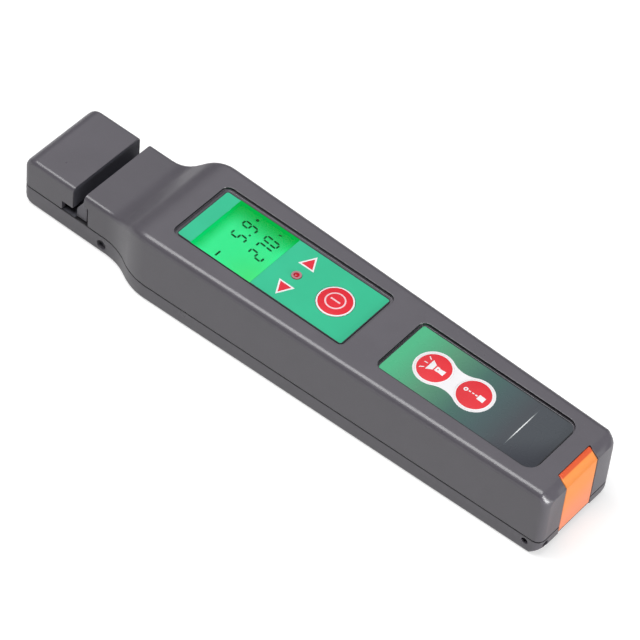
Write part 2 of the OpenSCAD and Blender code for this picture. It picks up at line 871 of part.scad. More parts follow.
module photodiodes() color("#3b3f4a") {
    for (s = [-1, 1]) rod_x(anvil_x0, anvil_x0 + diode_len - seat, s * diode_y, diode_z, diode_r);
}

module detector_board() color("#1f6b3a") {
    block([detector_x0, -flex_y1, deck_z], [detector_x1, flex_y1, head_h - wall - detector_gap]);
}

module detector_flex() color("#c77b2b") {
    block([flex_x0, flex_y0, flex_z], [detector_x0, flex_y1, deck_z + flex_rise]);
    block([flex_x0, flex_y0, flex_z], [flex_x1 + flex_t, flex_y1, flex_z + flex_t]);
    block([flex_x1, flex_y0, flex_z], [flex_x1 + flex_t, flex_y1, board_z]);
    block([flex_x1, flex_y0, board_z - flex_t], [flex_x1 + flex_tail, flex_y1, board_z]);
}

module plunger() color("#737278") {
    difference() {
        union() {
            block([neck_x + seat, -slide_half, plunger_z], [block_end, slide_half, plunger_top]);
            pair([cheek_x, slide_half - cheek_t, plunger_z], [neck_x + over, slide_half, plunger_top]);
            pair([cheek_x, slide_half - seat, plunger_z], [neck_x + cheek_back, cheek_half, plunger_top]);
            for (y = [-channel_half, channel_half + plate_t])
                translate([0, y, 0]) rotate([90, 0, 0]) linear_extrude(plate_t) plate_outline();
        }
        // Channel for the trigger's arm
        block([channel_x, -channel_half, 0], [plate_end + over, channel_half, body_h]);
        // Sloped tops of the cheeks
        rotate([90, 0, 0]) translate([0, 0, -head_w]) linear_extrude(2 * head_w) polygon([
            [cheek_x, plunger_top - cheek_fall],
            [cheek_x + cheek_slope, plunger_top],
            [cheek_x + cheek_slope, plunger_top + over],
            [cheek_x - over, plunger_top + over],
            [cheek_x - over, plunger_top - cheek_fall]
        ]);
        // Leaning slots for the trigger's cross bar
        for (c = [[bar_x, bar_z], [bar_x_end, bar_z_end]])
            rod_y(c[0], c[1], -head_w, head_w, slot_r);
        translate([bar_x, 0, bar_z]) rotate([0, -slot_lean, 0])
            translate([0, -head_w, -slot_r]) cube([slot_reach, 2 * head_w, 2 * slot_r]);
    }
}

// Side view of a cam plate: its top climbs from the block, under the flare
module plate_outline() {
    polygon([
        [plate_x, plate_z],
        [plate_end, plate_z],
        [plate_end, plate_top],
        [bar_x_end - slot_r, plate_top],
        [plate_x, plunger_top]
    ]);
}

module bend_pad() color("#23252a") {
    difference() {
        block([closed_x - nose_reach, -bend_base_half, nose_z], [neck_x + seat, bend_base_half, nose_top]);
        pair([closed_x - over - nose_reach, nose_half, 0], [closed_x, head_w, nose_top + over]);
        difference() {
            block([closed_x - nose_reach - over, -nose_half, 0], [closed_x, nose_half, nose_top + over]);
            rod_z(closed_x - nose_reach + nose_r, 0, 0, nose_top + 2 * over, nose_r);
        }
    }
}

module trigger() color("#4a4a4f") {
    difference() {
        union() {
            rod_y(pin_x, pin_h, -hub_half, hub_half, hub_r);
            slab(pin_x, pin_x + pad_len, pad_half, run, pad_tip_r, pad_lift, pad_lift + pad_t);
            rod_y(bar_x, bar_z, -bar_half, bar_half, bar_r);
            rotate([90, 0, 0]) translate([0, 0, -arm_half]) linear_extrude(2 * arm_half) polygon([
                [pin_x, pad_lift + pad_t / 2],
                [bar_x + bar_r, pad_lift + pad_t / 2],
                [bar_x + bar_r, bar_z],
                [bar_x, bar_z + bar_r],
                [bar_x - bar_r, bar_z],
                [pin_x + hub_r, pin_h + bar_r]
            ]);
        }
        rod_y(pin_x, pin_h, -head_w, head_w, pin_hole_r);
        // Grip grooves across the finger face
        for (i = [0:grip_count - 1])
            rod_y(pin_x + pad_len - grip_inset - i * grip_pitch, pad_lift - grip_r / 2,
                  -head_w, head_w, grip_r);
    }
}

module trigger_pin() color("#b9bcc2") {
    rod_y(pin_x, pin_h, -pin_half, pin_half, pin_r);
}

// Spring: round wire along a helix of height h, closed at both ends
module helix(h, r, wire, turns) {
    n = turns * helix_steps;
    rise = h - 2 * wire;
    lean = atan2(rise, 2 * PI * r * turns);
    rings = [for (i = [0:n]) let (a = 360 * i / helix_steps, z = wire + rise * i / n)
        [for (k = [0:helix_sides - 1])
            let (b = 360 * k / helix_sides, u = r + wire * cos(b), w = wire * sin(b))
            [u * cos(a) + w * sin(lean) * sin(a), u * sin(a) - w * sin(lean) * cos(a), z + w * cos(lean)]]];
    skin(rings);
}

module trigger_spring() color("#c4c6ca") {
    translate([spring_x, 0, spring_bottom])
        helix(spring_top - spring_bottom, spring_r, spring_wire, spring_turns);
}

module display_overlay() color("#49cb9e") {
    difference() {
        slab(display_x + overlay_margin, display_end - overlay_margin, display_w / 2 - overlay_margin,
             display_r / 2, display_r / 2, recess_z, recess_z + overlay_t);
        block([window_x - seat, -window_w / 2 - seat, 0], [window_end + seat, window_w / 2 + seat, body_h]);
        rod_z(power_x, 0, 0, body_h, key_hole_r);
        rod_z(status_x, 0, 0, body_h, status_r + seat);
    }
}

module lcd_window() color("#9cf0c0", 0.5) {
    block([window_x, -window_w / 2, recess_z], [window_end, window_w / 2, recess_z + overlay_t]);
}

module control_overlay() color("#568a78") {
    difference() {
        slab(control_x + control_margin, control_end - control_margin, control_w / 2 - control_margin,
             display_r - control_margin, control_tail_r - control_margin, recess_z, recess_z + overlay_t);
        for (x = [torch_x, laser_x]) rod_z(x, 0, 0, body_h, key_hole_r);
    }
}

// A key: domed cap in the hole of the membrane and the shell, with a flange that keeps it in
module key(x) {
    dome_r = (key_r * key_r + key_dome * key_dome) / (2 * key_dome);
    rod_z(x, 0, flange_z, flange_z + flange_t, flange_r);
    rod_z(x, 0, flange_z, recess_z + overlay_t, key_r);
    intersection() {
        translate([x, 0, recess_z + overlay_t + key_dome - dome_r]) sphere(r = dome_r);
        rod_z(x, 0, recess_z, body_h, key_r);
    }
}

module power_button() color("#e63c4b") key(power_x);

module torch_button() color("#ff4b50") key(torch_x);

module laser_button() color("#ff4b50") key(laser_x);

// The stem that a key pushes into its switch
module key_stem(x) {
    rod_z(x, 0, switch_top - stem_in, flange_z, stem_r);
}

module power_actuator() color("#2a2a2d") key_stem(power_x);

module torch_actuator() color("#2a2a2d") key_stem(torch_x);

module laser_actuator() color("#2a2a2d") key_stem(laser_x);

module switch_bodies() color("#8c8f94") {
    for (x = keys_at) difference() {
        block([x - switch_side / 2, -switch_side / 2, board_top],
              [x + switch_side / 2, switch_side / 2, switch_top]);
        rod_z(x, 0, switch_top - switch_bore, switch_top + over, stem_r + seat);
    }
}

module lcd_backlight() color("#dff5e6") {
    block([lcd_x0, -lcd_half, board_top], [lcd_x1, lcd_half, board_top + backlight_t]);
}

// Rear glass under the wall, and the front glass that stands in the opening
module lcd_glass() color("#50f0a0") {
    block([lcd_x0, -lcd_half, board_top + backlight_t],
          [lcd_x1, lcd_half, board_top + backlight_t + glass_t]);
    block([window_x + view_side, -window_w / 2 + view_side, board_top + backlight_t],
          [window_end - view_side, window_w / 2 - view_side, recess_z - seat]);
}

module lcd_gasket() color("#26282b") {
    difference() {
        block([lcd_x0, -lcd_half, ceiling_z - gasket_t], [lcd_x1, lcd_half, ceiling_z]);
        block([window_x + view_side - seat, -window_w / 2 + view_side - seat, 0],
              [window_end - view_side + seat, window_w / 2 - view_side + seat, body_h]);
    }
}

// Rubber strips that join the glass to the board, at both ends of the backlight
module zebra_strips() color("#5a5a60") {
    for (x = [lcd_x0 - zebra_w - seat, lcd_x1 + seat])
        block([x, -lcd_half + zebra_w, board_top],
              [x + zebra_w, lcd_half - zebra_w, board_top + backlight_t + glass_t / 2]);
}

module status_lens() color("#c2303a") {
    rod_z(status_x, 0, board_top + lamp_h + seat, recess_z + overlay_t + status_rise, status_r);
}

module status_led() color("#f2efe6") {
    block([status_x - lamp_side, -lamp_side, board_top],
          [status_x + lamp_side, lamp_side, board_top + lamp_h]);
}

module direction_leds() color("#f2efe6") {
    both_sides([[status_x, arrow_y]])
        block([-lamp_side, -lamp_side / 2, board_top], [lamp_side, lamp_side / 2, board_top + lamp_h]);
}

module main_board() color("#1f6b3a") {
    difference() {
        union() {
            block([board_x0, -board_half_head, board_z], [board_step_x, board_half_head, board_top]);
            block([board_x0, -board_half_tail, board_z], [board_x1, board_half_tail, board_top]);
        }
        both_sides(posts_at) rod_z(0, 0, 0, body_h, post_screw_r + seat);
    }
}

// A flat chip under the board, with its rows of legs
module chip(x, y, l, w) {
    block([x - l / 2, y - w / 2, board_z - chip_h], [x + l / 2, y + w / 2, board_z - leg_t]);
    for (i = [0:leg_count - 1]) {
        leg_x = x - l / 2 + l * (i + 1 / 2) / leg_count;
        block([leg_x - leg_t, y - w / 2 - leg_len, board_z - leg_t],
              [leg_x + leg_t, y + w / 2 + leg_len, board_z]);
    }
}

module microcontroller() color("#222326") chip(board_x0 + chip_inset, 0, chip_side, chip_side);

module amplifier_chips() color("#2b2c30") {
    for (s = [-1, 1]) chip(board_x0 + amp_inset, s * amp_y, amp_len, amp_w);
}

module buzzer() color("#17181a") {
    difference() {
        rod_z(board_x0 + buzzer_inset, 0, board_z - buzzer_h, board_z, buzzer_r);
        rod_z(board_x0 + buzzer_inset, 0, board_z - buzzer_h - over, board_z - buzzer_h / 2, lens_r);
    }
}

module board_screws() color("#b9bcc2") {
    both_sides(posts_at)
        screw(board_z - post_head_h, post_head_r, post_head_h, post_screw_r, post_len);
}

// The second cell lies the other way round, so its side of the bay is the first one turned
module turned() {
    translate([bay_x0 + bay_x1, 0, 0]) rotate([0, 0, 180]) children();
}

// A cell: its can, and its button towards the tail
module cell() {
    rod_x(cell_x0, cell_x1 - cell_button_h, cell_y, cell_z, cell_r);
    rod_x(cell_x0, cell_x1, cell_y, cell_z, cell_button_r);
}

module battery_1() color("#8f959c") cell();

module battery_2() color("#8f959c") turned() cell();

module contact_spring() {
    translate([bay_x0 + contact_t, cell_y, cell_z]) rotate([0, 90, 0])
        helix(spring_len - contact_t - seat, contact_spring_r, spring_wire, contact_turns);
}

module battery_springs() color("#c4c6ca") {
    contact_spring();
    turned() contact_spring();
}

// Both contact plates of one cell
module contacts() {
    for (x = [bay_x0, bay_x1 - contact_t])
        block([x, cell_y - plate_half, cell_z - plate_half],
              [x + contact_t, cell_y + plate_half, cell_z + plate_half]);
}

module battery_plates() color("#c4c6ca") {
    contacts();
    turned() contacts();
}

module battery_door() color("#646368") {
    difference() {
        union() {
            block([door_x0, -door_half, door_lift], [door_end, door_half, door_lift + door_t]);
            block([door_x0, -door_half - tongue, door_lift + door_step],
                  [door_end, door_half + tongue, door_lift + door_t]);
        }
        // Thumb grooves
        for (i = [0:grip_count - 1])
            rod_y(door_x0 + grip_inset + i * grip_pitch, door_lift - grip_r / 2,
                  grip_inset - door_half, door_half - grip_inset, grip_r);
    }
}

module laser_module() color("#c9a24b") {
    difference() {
        rod_x(laser_x0, port_x, 0, laser_h, laser_r);
        rod_x(laser_x0 - over, laser_x0 + over, 0, laser_h, laser_r / 2);
    }
}

module laser_port() color("#c8cacd") {
    difference() {
        union() {
            rod_x(port_x, port_face, 0, laser_h, port_r);
            rod_x(cavity_end, cavity_end + port_flange_t, 0, laser_h, port_flange_r);
        }
        rod_x(port_face - ferrule_depth, port_face + over, 0, laser_h, ferrule_r);
    }
}

module torch_led() color("#f4f6f2") {
    rod_x(lamp_x, torch_tip - torch_r, 0, torch_h, torch_r);
    rod_x(lamp_x, lamp_x + over, 0, torch_h, torch_r + torch_rim);
    translate([torch_tip - torch_r, 0, torch_h]) sphere(r = torch_r);
}

module torch_lens() color("#dfe9f2", 0.6) {
    rod_x(port_face - lens_disc_t, port_face, 0, torch_h, lens_disc_r);
}

module tail_board() color("#1f6b3a") {
    block([tail_board_x, -tail_board_half, torch_h - tail_board_below],
          [tail_board_x + board_t, tail_board_half, torch_h + tail_board_above]);
}

module port_cover() color("#ff9650") {
    difference() {
        cover_room(0);
        rod_y(cover_x, cover_pin_h, -cover_w, cover_w, hinge_r + seat);
    }
}

module cover_pin() color("#b9bcc2") {
    rod_y(cover_x, cover_pin_h, hinge_y0, hinge_y1, hinge_r);
}

module case_screws() color("#b9bcc2") {
    both_sides(case_screws_at) screw(screw_sink, screw_head_r, screw_head_h, screw_r, case_screw_len);
}

module cap_screws() color("#b9bcc2") {
    both_sides([[cap_screw_x, cap_screw_y]])
        screw(screw_sink, screw_head_r, screw_head_h, screw_r, cap_screw_len);
}

lower_shell();
upper_shell();
head_cap();
anvil_block();
photodiodes();
detector_board();
detector_flex();
plunger();
bend_pad();
trigger();
trigger_pin();
trigger_spring();
display_overlay();
lcd_window();
control_overlay();
power_button();
torch_button();
laser_button();
power_actuator();
torch_actuator();
laser_actuator();
switch_bodies();
lcd_glass();
lcd_backlight();
lcd_gasket();
zebra_strips();
status_lens();
status_led();
direction_leds();
main_board();
microcontroller();
amplifier_chips();
buzzer();
board_screws();
battery_1();
battery_2();
battery_springs();
battery_plates();
battery_door();
laser_module();
laser_port();
torch_led();
torch_lens();
tail_board();
port_cover();
cover_pin();
case_screws();
cap_screws();
cap_liner();
slot_pad();
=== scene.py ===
# %% [markdown]
# # A fibre identifier, dressed for the studio
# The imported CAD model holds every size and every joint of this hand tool. This lesson loads it
# as a fixed frame, sets a camera and soft lights round it, gives each part the finish of the
# real one, and adds the thin printed and lit marks that a CAD solid doesn't carry.

# %% Load the frame
import math

import bmesh
import bpy
import numpy as np
from mathutils import Matrix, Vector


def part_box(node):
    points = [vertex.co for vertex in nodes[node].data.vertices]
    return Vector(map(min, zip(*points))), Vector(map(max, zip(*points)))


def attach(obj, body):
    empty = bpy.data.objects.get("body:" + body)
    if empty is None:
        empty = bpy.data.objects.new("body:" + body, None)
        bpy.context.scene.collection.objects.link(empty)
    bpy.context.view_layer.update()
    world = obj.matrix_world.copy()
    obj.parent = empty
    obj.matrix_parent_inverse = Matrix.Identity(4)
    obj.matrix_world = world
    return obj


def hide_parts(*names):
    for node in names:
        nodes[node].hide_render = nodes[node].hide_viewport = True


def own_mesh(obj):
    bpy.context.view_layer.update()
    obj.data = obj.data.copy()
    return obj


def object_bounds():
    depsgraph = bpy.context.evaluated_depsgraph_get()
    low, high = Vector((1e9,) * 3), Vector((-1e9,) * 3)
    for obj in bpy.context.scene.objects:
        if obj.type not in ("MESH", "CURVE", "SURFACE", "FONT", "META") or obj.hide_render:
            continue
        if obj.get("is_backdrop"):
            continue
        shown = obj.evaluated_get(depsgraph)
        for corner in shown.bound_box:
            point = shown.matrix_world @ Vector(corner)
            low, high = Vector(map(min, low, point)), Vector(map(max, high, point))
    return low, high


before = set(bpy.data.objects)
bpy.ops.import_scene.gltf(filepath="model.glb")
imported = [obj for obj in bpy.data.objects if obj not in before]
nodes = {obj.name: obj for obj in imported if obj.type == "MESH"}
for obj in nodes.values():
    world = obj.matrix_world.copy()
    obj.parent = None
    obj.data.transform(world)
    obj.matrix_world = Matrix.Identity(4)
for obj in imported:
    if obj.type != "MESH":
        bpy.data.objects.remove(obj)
cad_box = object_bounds()
scene = bpy.context.scene
MM = 0.001

# %% [markdown]
# ## The camera
# A catalogue shot of a slim tool is taken from far away with a long lens, so its sides stay
# almost parallel. The camera could be placed by eye, but its direction is better given by
# three angles: round the tool, above the floor, and a small roll that tilts the tool in the
# picture. The lens follows from the frame's width, so that the tool fills it corner to corner.

# %% Camera
CAMERA_ROUND = math.radians(-55.05)
CAMERA_ABOVE = math.radians(48.90)
CAMERA_ROLL = math.radians(6.39)
CAMERA_AWAY = 1.0496
CAMERA_AIM = np.array([0.0040, 0.0007, 0.0130])
CAMERA_LENS = 198.8
SENSOR_WIDTH = 36.0


def camera_axes(around, above, roll):
    """Right, up and back axes. Back points from the aim to the camera; right lies level and
    is then turned about back by the roll, and up completes the set."""
    flat = math.cos(above)
    back = np.array([flat * math.cos(around), flat * math.sin(around), math.sin(above)])
    level = np.array([-math.sin(around), math.cos(around), 0.0])
    upright = np.cross(back, level)
    right = level * math.cos(roll) + upright * math.sin(roll)
    return right, np.cross(back, right), back


right, up, back = camera_axes(CAMERA_ROUND, CAMERA_ABOVE, CAMERA_ROLL)
camera_data = bpy.data.cameras.new("studio_camera")
camera_data.lens = CAMERA_LENS
camera_data.sensor_width = SENSOR_WIDTH
camera_data.clip_start = 0.01
camera = bpy.data.objects.new("studio_camera", camera_data)
scene.collection.objects.link(camera)
placed = np.eye(4)
placed[:3, :3] = np.stack([right, up, back], 1)
placed[:3, 3] = CAMERA_AIM + back * CAMERA_AWAY
camera.matrix_world = Matrix(placed.tolist())
scene.camera = camera
print("camera at", np.round(placed[:3, 3], 3), "looking along", np.round(-back, 3))

# %% [markdown]
# ## Light and floor
# One large soft box stands overhead, a little to the near side. The rounded upper edge mirrors it
# as a bright line, and below that line the edge mirrors the dim surround, then the floor. A weak
# box fills the far side, and a small one lights the tail. White could come from more light, but
# then the colours would wash out, so the floor is a pale grey that glows for the camera, a
# reflection or glass, and it still takes the shadow.

# %% Colour management and small helpers
scene.view_settings.view_transform = "Standard"


def srgb(red, green, blue):
    """A colour as a picture shows it, 0 to 255, turned into the linear one that light mixes in:
    c / 12.92 below 0.04045, else ((c + 0.055) / 1.055) to the power 2.4."""
    c = np.array([red, green, blue]) / 255.0
    return (*np.where(c <= 0.04045, c / 12.92, ((c + 0.055) / 1.055) ** 2.4), 1.0)


def feed(tree, socket, value):
    """Link a socket, or set its own value."""
    if isinstance(value, bpy.types.NodeSocket):
        tree.links.new(value, socket)
    else:
        socket.default_value = value


def add(tree, kind, settings=None, inputs=None):
    """One shader node, with its settings and its inputs, by name or by number."""
    made = tree.nodes.new(kind if kind.startswith("Geometry") else "ShaderNode" + kind)
    for key, value in (settings or {}).items():
        setattr(made, key, value)
    for key, value in (inputs or {}).items():
        feed(tree, made.inputs[key], value)
    return made


def maths(tree, operation, a, b=0.0, clamp=False):
    """One sum, product or other operation on two values."""
    made = add(tree, "Math", {"operation": operation, "use_clamp": clamp}, {0: a, 1: b})
    return made.outputs[0]


def blend(tree, share, a, b, mode="MIX"):
    """Colour a turned into b by a share."""
    made = add(tree, "Mix", {"data_type": "RGBA", "blend_type": mode}, {0: share, 6: a, 7: b})
    return made.outputs[2]


def ramp(tree, value, low, high, to_low=0.0, to_high=1.0):
    """A value between low and high, spread over to_low and to_high, smooth at both ends."""
    made = add(tree, "MapRange", {"interpolation_type": "SMOOTHSTEP"},
               {0: value, 1: low, 2: high, 3: to_low, 4: to_high})
    return made.outputs[0]


print("helpers ready, view transform", scene.view_settings.view_transform)

# %% Surround
SURROUND = 0.08
world = bpy.data.worlds.new("studio_surround")
scene.world = world
world.use_nodes = True
plain = world.node_tree.nodes["Background"]
plain.inputs["Color"].default_value = (1.0, 1.0, 1.0, 1.0)
plain.inputs["Strength"].default_value = SURROUND
print("surround at", SURROUND)

# %% Lamps
def soft_box(name, toward, away, wide, painted_reflection, power, colour=(1.0, 1.0, 1.0)):
    """An area lamp of wide by deep metres, away metres from the tool along a direction, facing it."""
    lamp = bpy.data.lights.new(name, "AREA")
    lamp.shape = "RECTANGLE"
    lamp.size, lamp.size_y = wide, painted_reflection
    lamp.energy = power
    lamp.color = colour
    made = bpy.data.objects.new(name, lamp)
    scene.collection.objects.link(made)
    axis = np.array(toward) / np.linalg.norm(toward)
    side = np.cross([0.0, 1.0, 0.0], axis)
    side /= np.linalg.norm(side)
    pose = np.eye(4)
    pose[:3, :3] = np.stack([side, np.cross(axis, side), axis], 1)
    pose[:3, 3] = axis * away
    made.matrix_world = Matrix(pose.tolist())
    return made


soft_box("soft_box_main", toward=(-0.20, -0.16, 0.97), away=1.3, wide=1.2, painted_reflection=0.85, power=17.0)
soft_box("soft_box_fill", toward=(-0.38, 0.56, 0.74), away=1.3, wide=1.1, painted_reflection=0.6, power=1.0)
soft_box("soft_box_tail", toward=(0.97, -0.10, 0.20), away=1.6, wide=0.6, painted_reflection=0.4, power=17.5)

# %% Floor
FLOOR_HALF = 30.0
FLOOR_WHITE = srgb(196, 196, 196)
FLOOR_ROUGH = 0.9
FLOOR_GLOW = 0.6
FLOOR_MIRRORED = 0.22
floor_mesh = bpy.data.meshes.new("studio_floor")
corners = np.array([[-1, -1, 0], [1, -1, 0], [1, 1, 0], [-1, 1, 0]]) * FLOOR_HALF
floor_mesh.from_pydata(corners.tolist(), [], [[0, 1, 2, 3]])
floor = bpy.data.objects.new("studio_floor", floor_mesh)
scene.collection.objects.link(floor)
floor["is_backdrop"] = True
paper = bpy.data.materials.new("studio_paper")
paper.use_nodes = True
tree = paper.node_tree
sheet = tree.nodes["Principled BSDF"]
sheet.inputs["Base Color"].default_value = FLOOR_WHITE
sheet.inputs["Roughness"].default_value = FLOOR_ROUGH
sheet.inputs["Specular IOR Level"].default_value = 0.0
seen = add(tree, "LightPath")
mirrored = maths(tree, "MAXIMUM", seen.outputs["Is Glossy Ray"], seen.outputs["Is Transmission Ray"])
glow = maths(tree, "MAXIMUM", maths(tree, "MULTIPLY", seen.outputs["Is Camera Ray"], FLOOR_GLOW),
             maths(tree, "MULTIPLY", mirrored, FLOOR_MIRRORED))
feed(tree, sheet.inputs["Emission Strength"], glow)
sheet.inputs["Emission Color"].default_value = (1.0, 1.0, 1.0, 1.0)
floor_mesh.materials.append(paper)
print("floor", 2 * FLOOR_HALF, "m wide")

# %% [markdown]
# ## Effects that several finishes share
# Moulded plastic has a fine spark-eroded grain, its edges are rubbed a little paler, and the
# faces that lie upwards hold a trace of dust. Each effect could be copied into every material,
# but one node group apiece keeps them the same everywhere, and each material sets its own
# amounts. A group gives out only masks, heights and values; the shader stays in the material.

# %% Shader groups
def group(name, inputs, outputs):
    """An empty shader group with named inputs (name, default) and named outputs."""
    made = bpy.data.node_groups.new(name, "ShaderNodeTree")
    for label, value in inputs:
        socket = made.interface.new_socket(label, in_out="INPUT", socket_type="NodeSocketFloat")
        socket.default_value = value
    for label in outputs:
        made.interface.new_socket(label, in_out="OUTPUT", socket_type="NodeSocketFloat")
    return made, made.nodes.new("NodeGroupInput").outputs, made.nodes.new("NodeGroupOutput").inputs


grain_group, given, result = group("fine_grain", [("Scale", 5000.0), ("Mottle Scale", 90.0)],
                                   ["Height", "Mottle"])
place = add(grain_group, "TexCoord").outputs["Object"]
fine = add(grain_group, "TexNoise", None,
           {"Vector": place, "Scale": given["Scale"], "Detail": 2.0, "Roughness": 0.6})
broad = add(grain_group, "TexNoise", None,
            {"Vector": place, "Scale": given["Mottle Scale"], "Detail": 3.0, "Roughness": 0.55})
feed(grain_group, result["Height"], fine.outputs[0])
feed(grain_group, result["Mottle"], broad.outputs[0])

FACE_FLAT, FACE_ROUND = 0.995, 0.90
PATCH_FROM, PATCH_TO = 0.35, 0.65
wear_group, given, result = group("edge_wear", [("Radius", 0.0004), ("Amount", 1.0)], ["Wear"])
place = add(wear_group, "TexCoord").outputs["Object"]
rounded = add(wear_group, "Bevel", {"samples": 4}, {"Radius": given["Radius"]}).outputs[0]
facing = add(wear_group, "VectorMath", {"operation": "DOT_PRODUCT"},
             {0: rounded, 1: add(wear_group, "NewGeometry").outputs["Normal"]}).outputs["Value"]
patchy = add(wear_group, "TexNoise", None, {"Vector": place, "Scale": 700.0, "Detail": 4.0}).outputs[0]
rubbed = maths(wear_group, "MULTIPLY", ramp(wear_group, facing, FACE_FLAT, FACE_ROUND),
               ramp(wear_group, patchy, PATCH_FROM, PATCH_TO))
feed(wear_group, result["Wear"], maths(wear_group, "MULTIPLY", rubbed, given["Amount"], clamp=True))

SPECK_EDGE, SPECK_CORE = 0.16, 0.02
DRIFT_FROM, DRIFT_TO = 0.45, 0.7
STEEP, LEVEL = 0.3, 0.9
dust_group, given, result = group("settled_dust", [("Amount", 0.1)], ["Dust"])
place = add(dust_group, "TexCoord").outputs["Object"]
lie = add(dust_group, "SeparateXYZ", None, {0: add(dust_group, "NewGeometry").outputs["Normal"]}).outputs[2]
specks = add(dust_group, "TexVoronoi", None, {"Vector": place, "Scale": 900.0}).outputs["Distance"]
drift = add(dust_group, "TexNoise", None, {"Vector": place, "Scale": 120.0, "Detail": 5.0}).outputs[0]
sprinkled = maths(dust_group, "MULTIPLY", ramp(dust_group, specks, SPECK_EDGE, SPECK_CORE),
                  ramp(dust_group, drift, DRIFT_FROM, DRIFT_TO))
upward = maths(dust_group, "MULTIPLY", sprinkled, ramp(dust_group, lie, STEEP, LEVEL))
feed(dust_group, result["Dust"], maths(dust_group, "MULTIPLY", upward, given["Amount"], clamp=True))

SMEAR_FROM, SMEAR_TO = 0.35, 0.7
smear_group, given, result = group("finger_smears", [("Scale", 160.0)], ["Smear"])
place = add(smear_group, "TexCoord").outputs["Object"]
bend = add(smear_group, "TexNoise", None, {"Vector": place, "Scale": given["Scale"], "Detail": 3.0,
                                           "Distortion": 1.2}).outputs[0]
feed(smear_group, result["Smear"], ramp(smear_group, bend, SMEAR_FROM, SMEAR_TO))

BORDER_FADES_FROM = 0.7
border_group, given, result = group(
    "cut_border", [("Middle", 0.0), ("Half Length", 0.03), ("Half Width", 0.01),
                   ("Corner", 0.001), ("Width", 0.0004)], ["Border"])
place = add(border_group, "SeparateXYZ", None, {0: add(border_group, "TexCoord").outputs["Object"]}).outputs
lengthways = maths(border_group, "SUBTRACT", place[0], given["Middle"])
over = []
for offset, half in ((lengthways, given["Half Length"]), (place[1], given["Half Width"])):
    reach = maths(border_group, "SUBTRACT", maths(border_group, "ABSOLUTE", offset), half)
    over.append(maths(border_group, "ADD", reach, given["Corner"]))
beyond = [maths(border_group, "MAXIMUM", value, 0.0) for value in over]
squares = [maths(border_group, "MULTIPLY", value, value) for value in beyond]
round_part = maths(border_group, "SQRT", maths(border_group, "ADD", squares[0], squares[1]))
flat_part = maths(border_group, "MINIMUM", maths(border_group, "MAXIMUM", over[0], over[1]), 0.0)
inside = maths(border_group, "SUBTRACT", given["Corner"], maths(border_group, "ADD", round_part, flat_part))
share = maths(border_group, "DIVIDE", inside, given["Width"])
feed(border_group, result["Border"], ramp(border_group, share, 1.0, BORDER_FADES_FROM))
print("groups:", [g.name for g in bpy.data.node_groups])

# %% [markdown]
# ## Finishes
# Most parts of the tool are one of four kinds: moulded plastic, printed glossy film, metal, or
# small electronics that hardly show. One builder for each kind takes the colour and a few
# amounts, so the finishes differ by values and not by copied nodes.

# %% Builders of finishes
DUST_TINT = srgb(196, 194, 190)
DEEPER, LIGHTER = 0.97, 1.03
PALE_SHARE, PALE_ADDED = 0.55, 0.20
SPECKLE_FROM, SPECKLE_TO, SPECKLE_SHARE = 0.55, 0.75, 0.16
MOTTLE_FROM, MOTTLE_TO = 0.3, 0.7
ROUGH_SPREAD = 0.12
RECESS_HALF, RECESS_LOW, RECESS_BLUR = 0.0132, 0.0261, 0.0002
SEAM_AT_FLARE, SEAM_AT_BODY = (-0.0672, 0.0072), (-0.0472, 0.0062)
SEAM_GAP, SEAM_SHADE, SEAM_SHARE = 0.0003, 0.0003, 0.9
SHADOW_INK = srgb(10, 10, 13)
BORDER, BORDER_CORNER, BORDER_INK = 0.0004, 0.0010, srgb(48, 50, 54)


def fresh(name):
    """A new material, its tree and its shader."""
    made = bpy.data.materials.new("finish_" + name)
    made.use_nodes = True
    return made, made.node_tree, made.node_tree.nodes["Principled BSDF"]


def effect(tree, shared, **amounts):
    """One shared effect placed in a material with its own amounts."""
    made = tree.nodes.new("ShaderNodeGroup")
    made.node_tree = shared
    for label, value in amounts.items():
        made.inputs[label.replace("_", " ")].default_value = value
    return made.outputs


def bump(tree, height, strength, depth):
    """A bump of a given depth in metres."""
    return add(tree, "Bump", None, {"Strength": strength, "Distance": depth, "Height": height}).outputs[0]


def moulded(name, colour, rough=0.5, grain=5000.0, depth=0.00003, worn=0.25, dusty=0.12, gloss=0.5):
    """Moulded plastic or rubber: a grain that scatters light, paler rubbed edges, a trace of dust."""
    made, tree, shader = fresh(name)
    skin = effect(tree, grain_group, Scale=grain)
    wear = effect(tree, wear_group, Amount=worn)["Wear"]
    dust = effect(tree, dust_group, Amount=dusty)["Dust"]
    dark = tuple(c * DEEPER for c in colour[:3]) + (1.0,)
    light = tuple(min(1.0, c * LIGHTER) for c in colour[:3]) + (1.0,)
    pale = tuple(c * PALE_SHARE + PALE_ADDED for c in colour[:3]) + (1.0,)
    tone = blend(tree, ramp(tree, skin["Mottle"], MOTTLE_FROM, MOTTLE_TO), dark, light)
    speckle = maths(tree, "MULTIPLY", ramp(tree, skin["Height"], SPECKLE_FROM, SPECKLE_TO), SPECKLE_SHARE)
    rubbed = blend(tree, wear, blend(tree, speckle, tone, pale), pale)
    feed(tree, shader.inputs["Base Color"], blend(tree, dust, rubbed, DUST_TINT))
    spread = maths(tree, "MULTIPLY", skin["Mottle"], ROUGH_SPREAD)
    varied = maths(tree, "ADD", rough - ROUGH_SPREAD / 2, spread)
    feed(tree, shader.inputs["Roughness"], varied)
    feed(tree, shader.inputs["Normal"], bump(tree, skin["Height"], 0.55, depth))
    shader.inputs["Specular IOR Level"].default_value = gloss
    return made


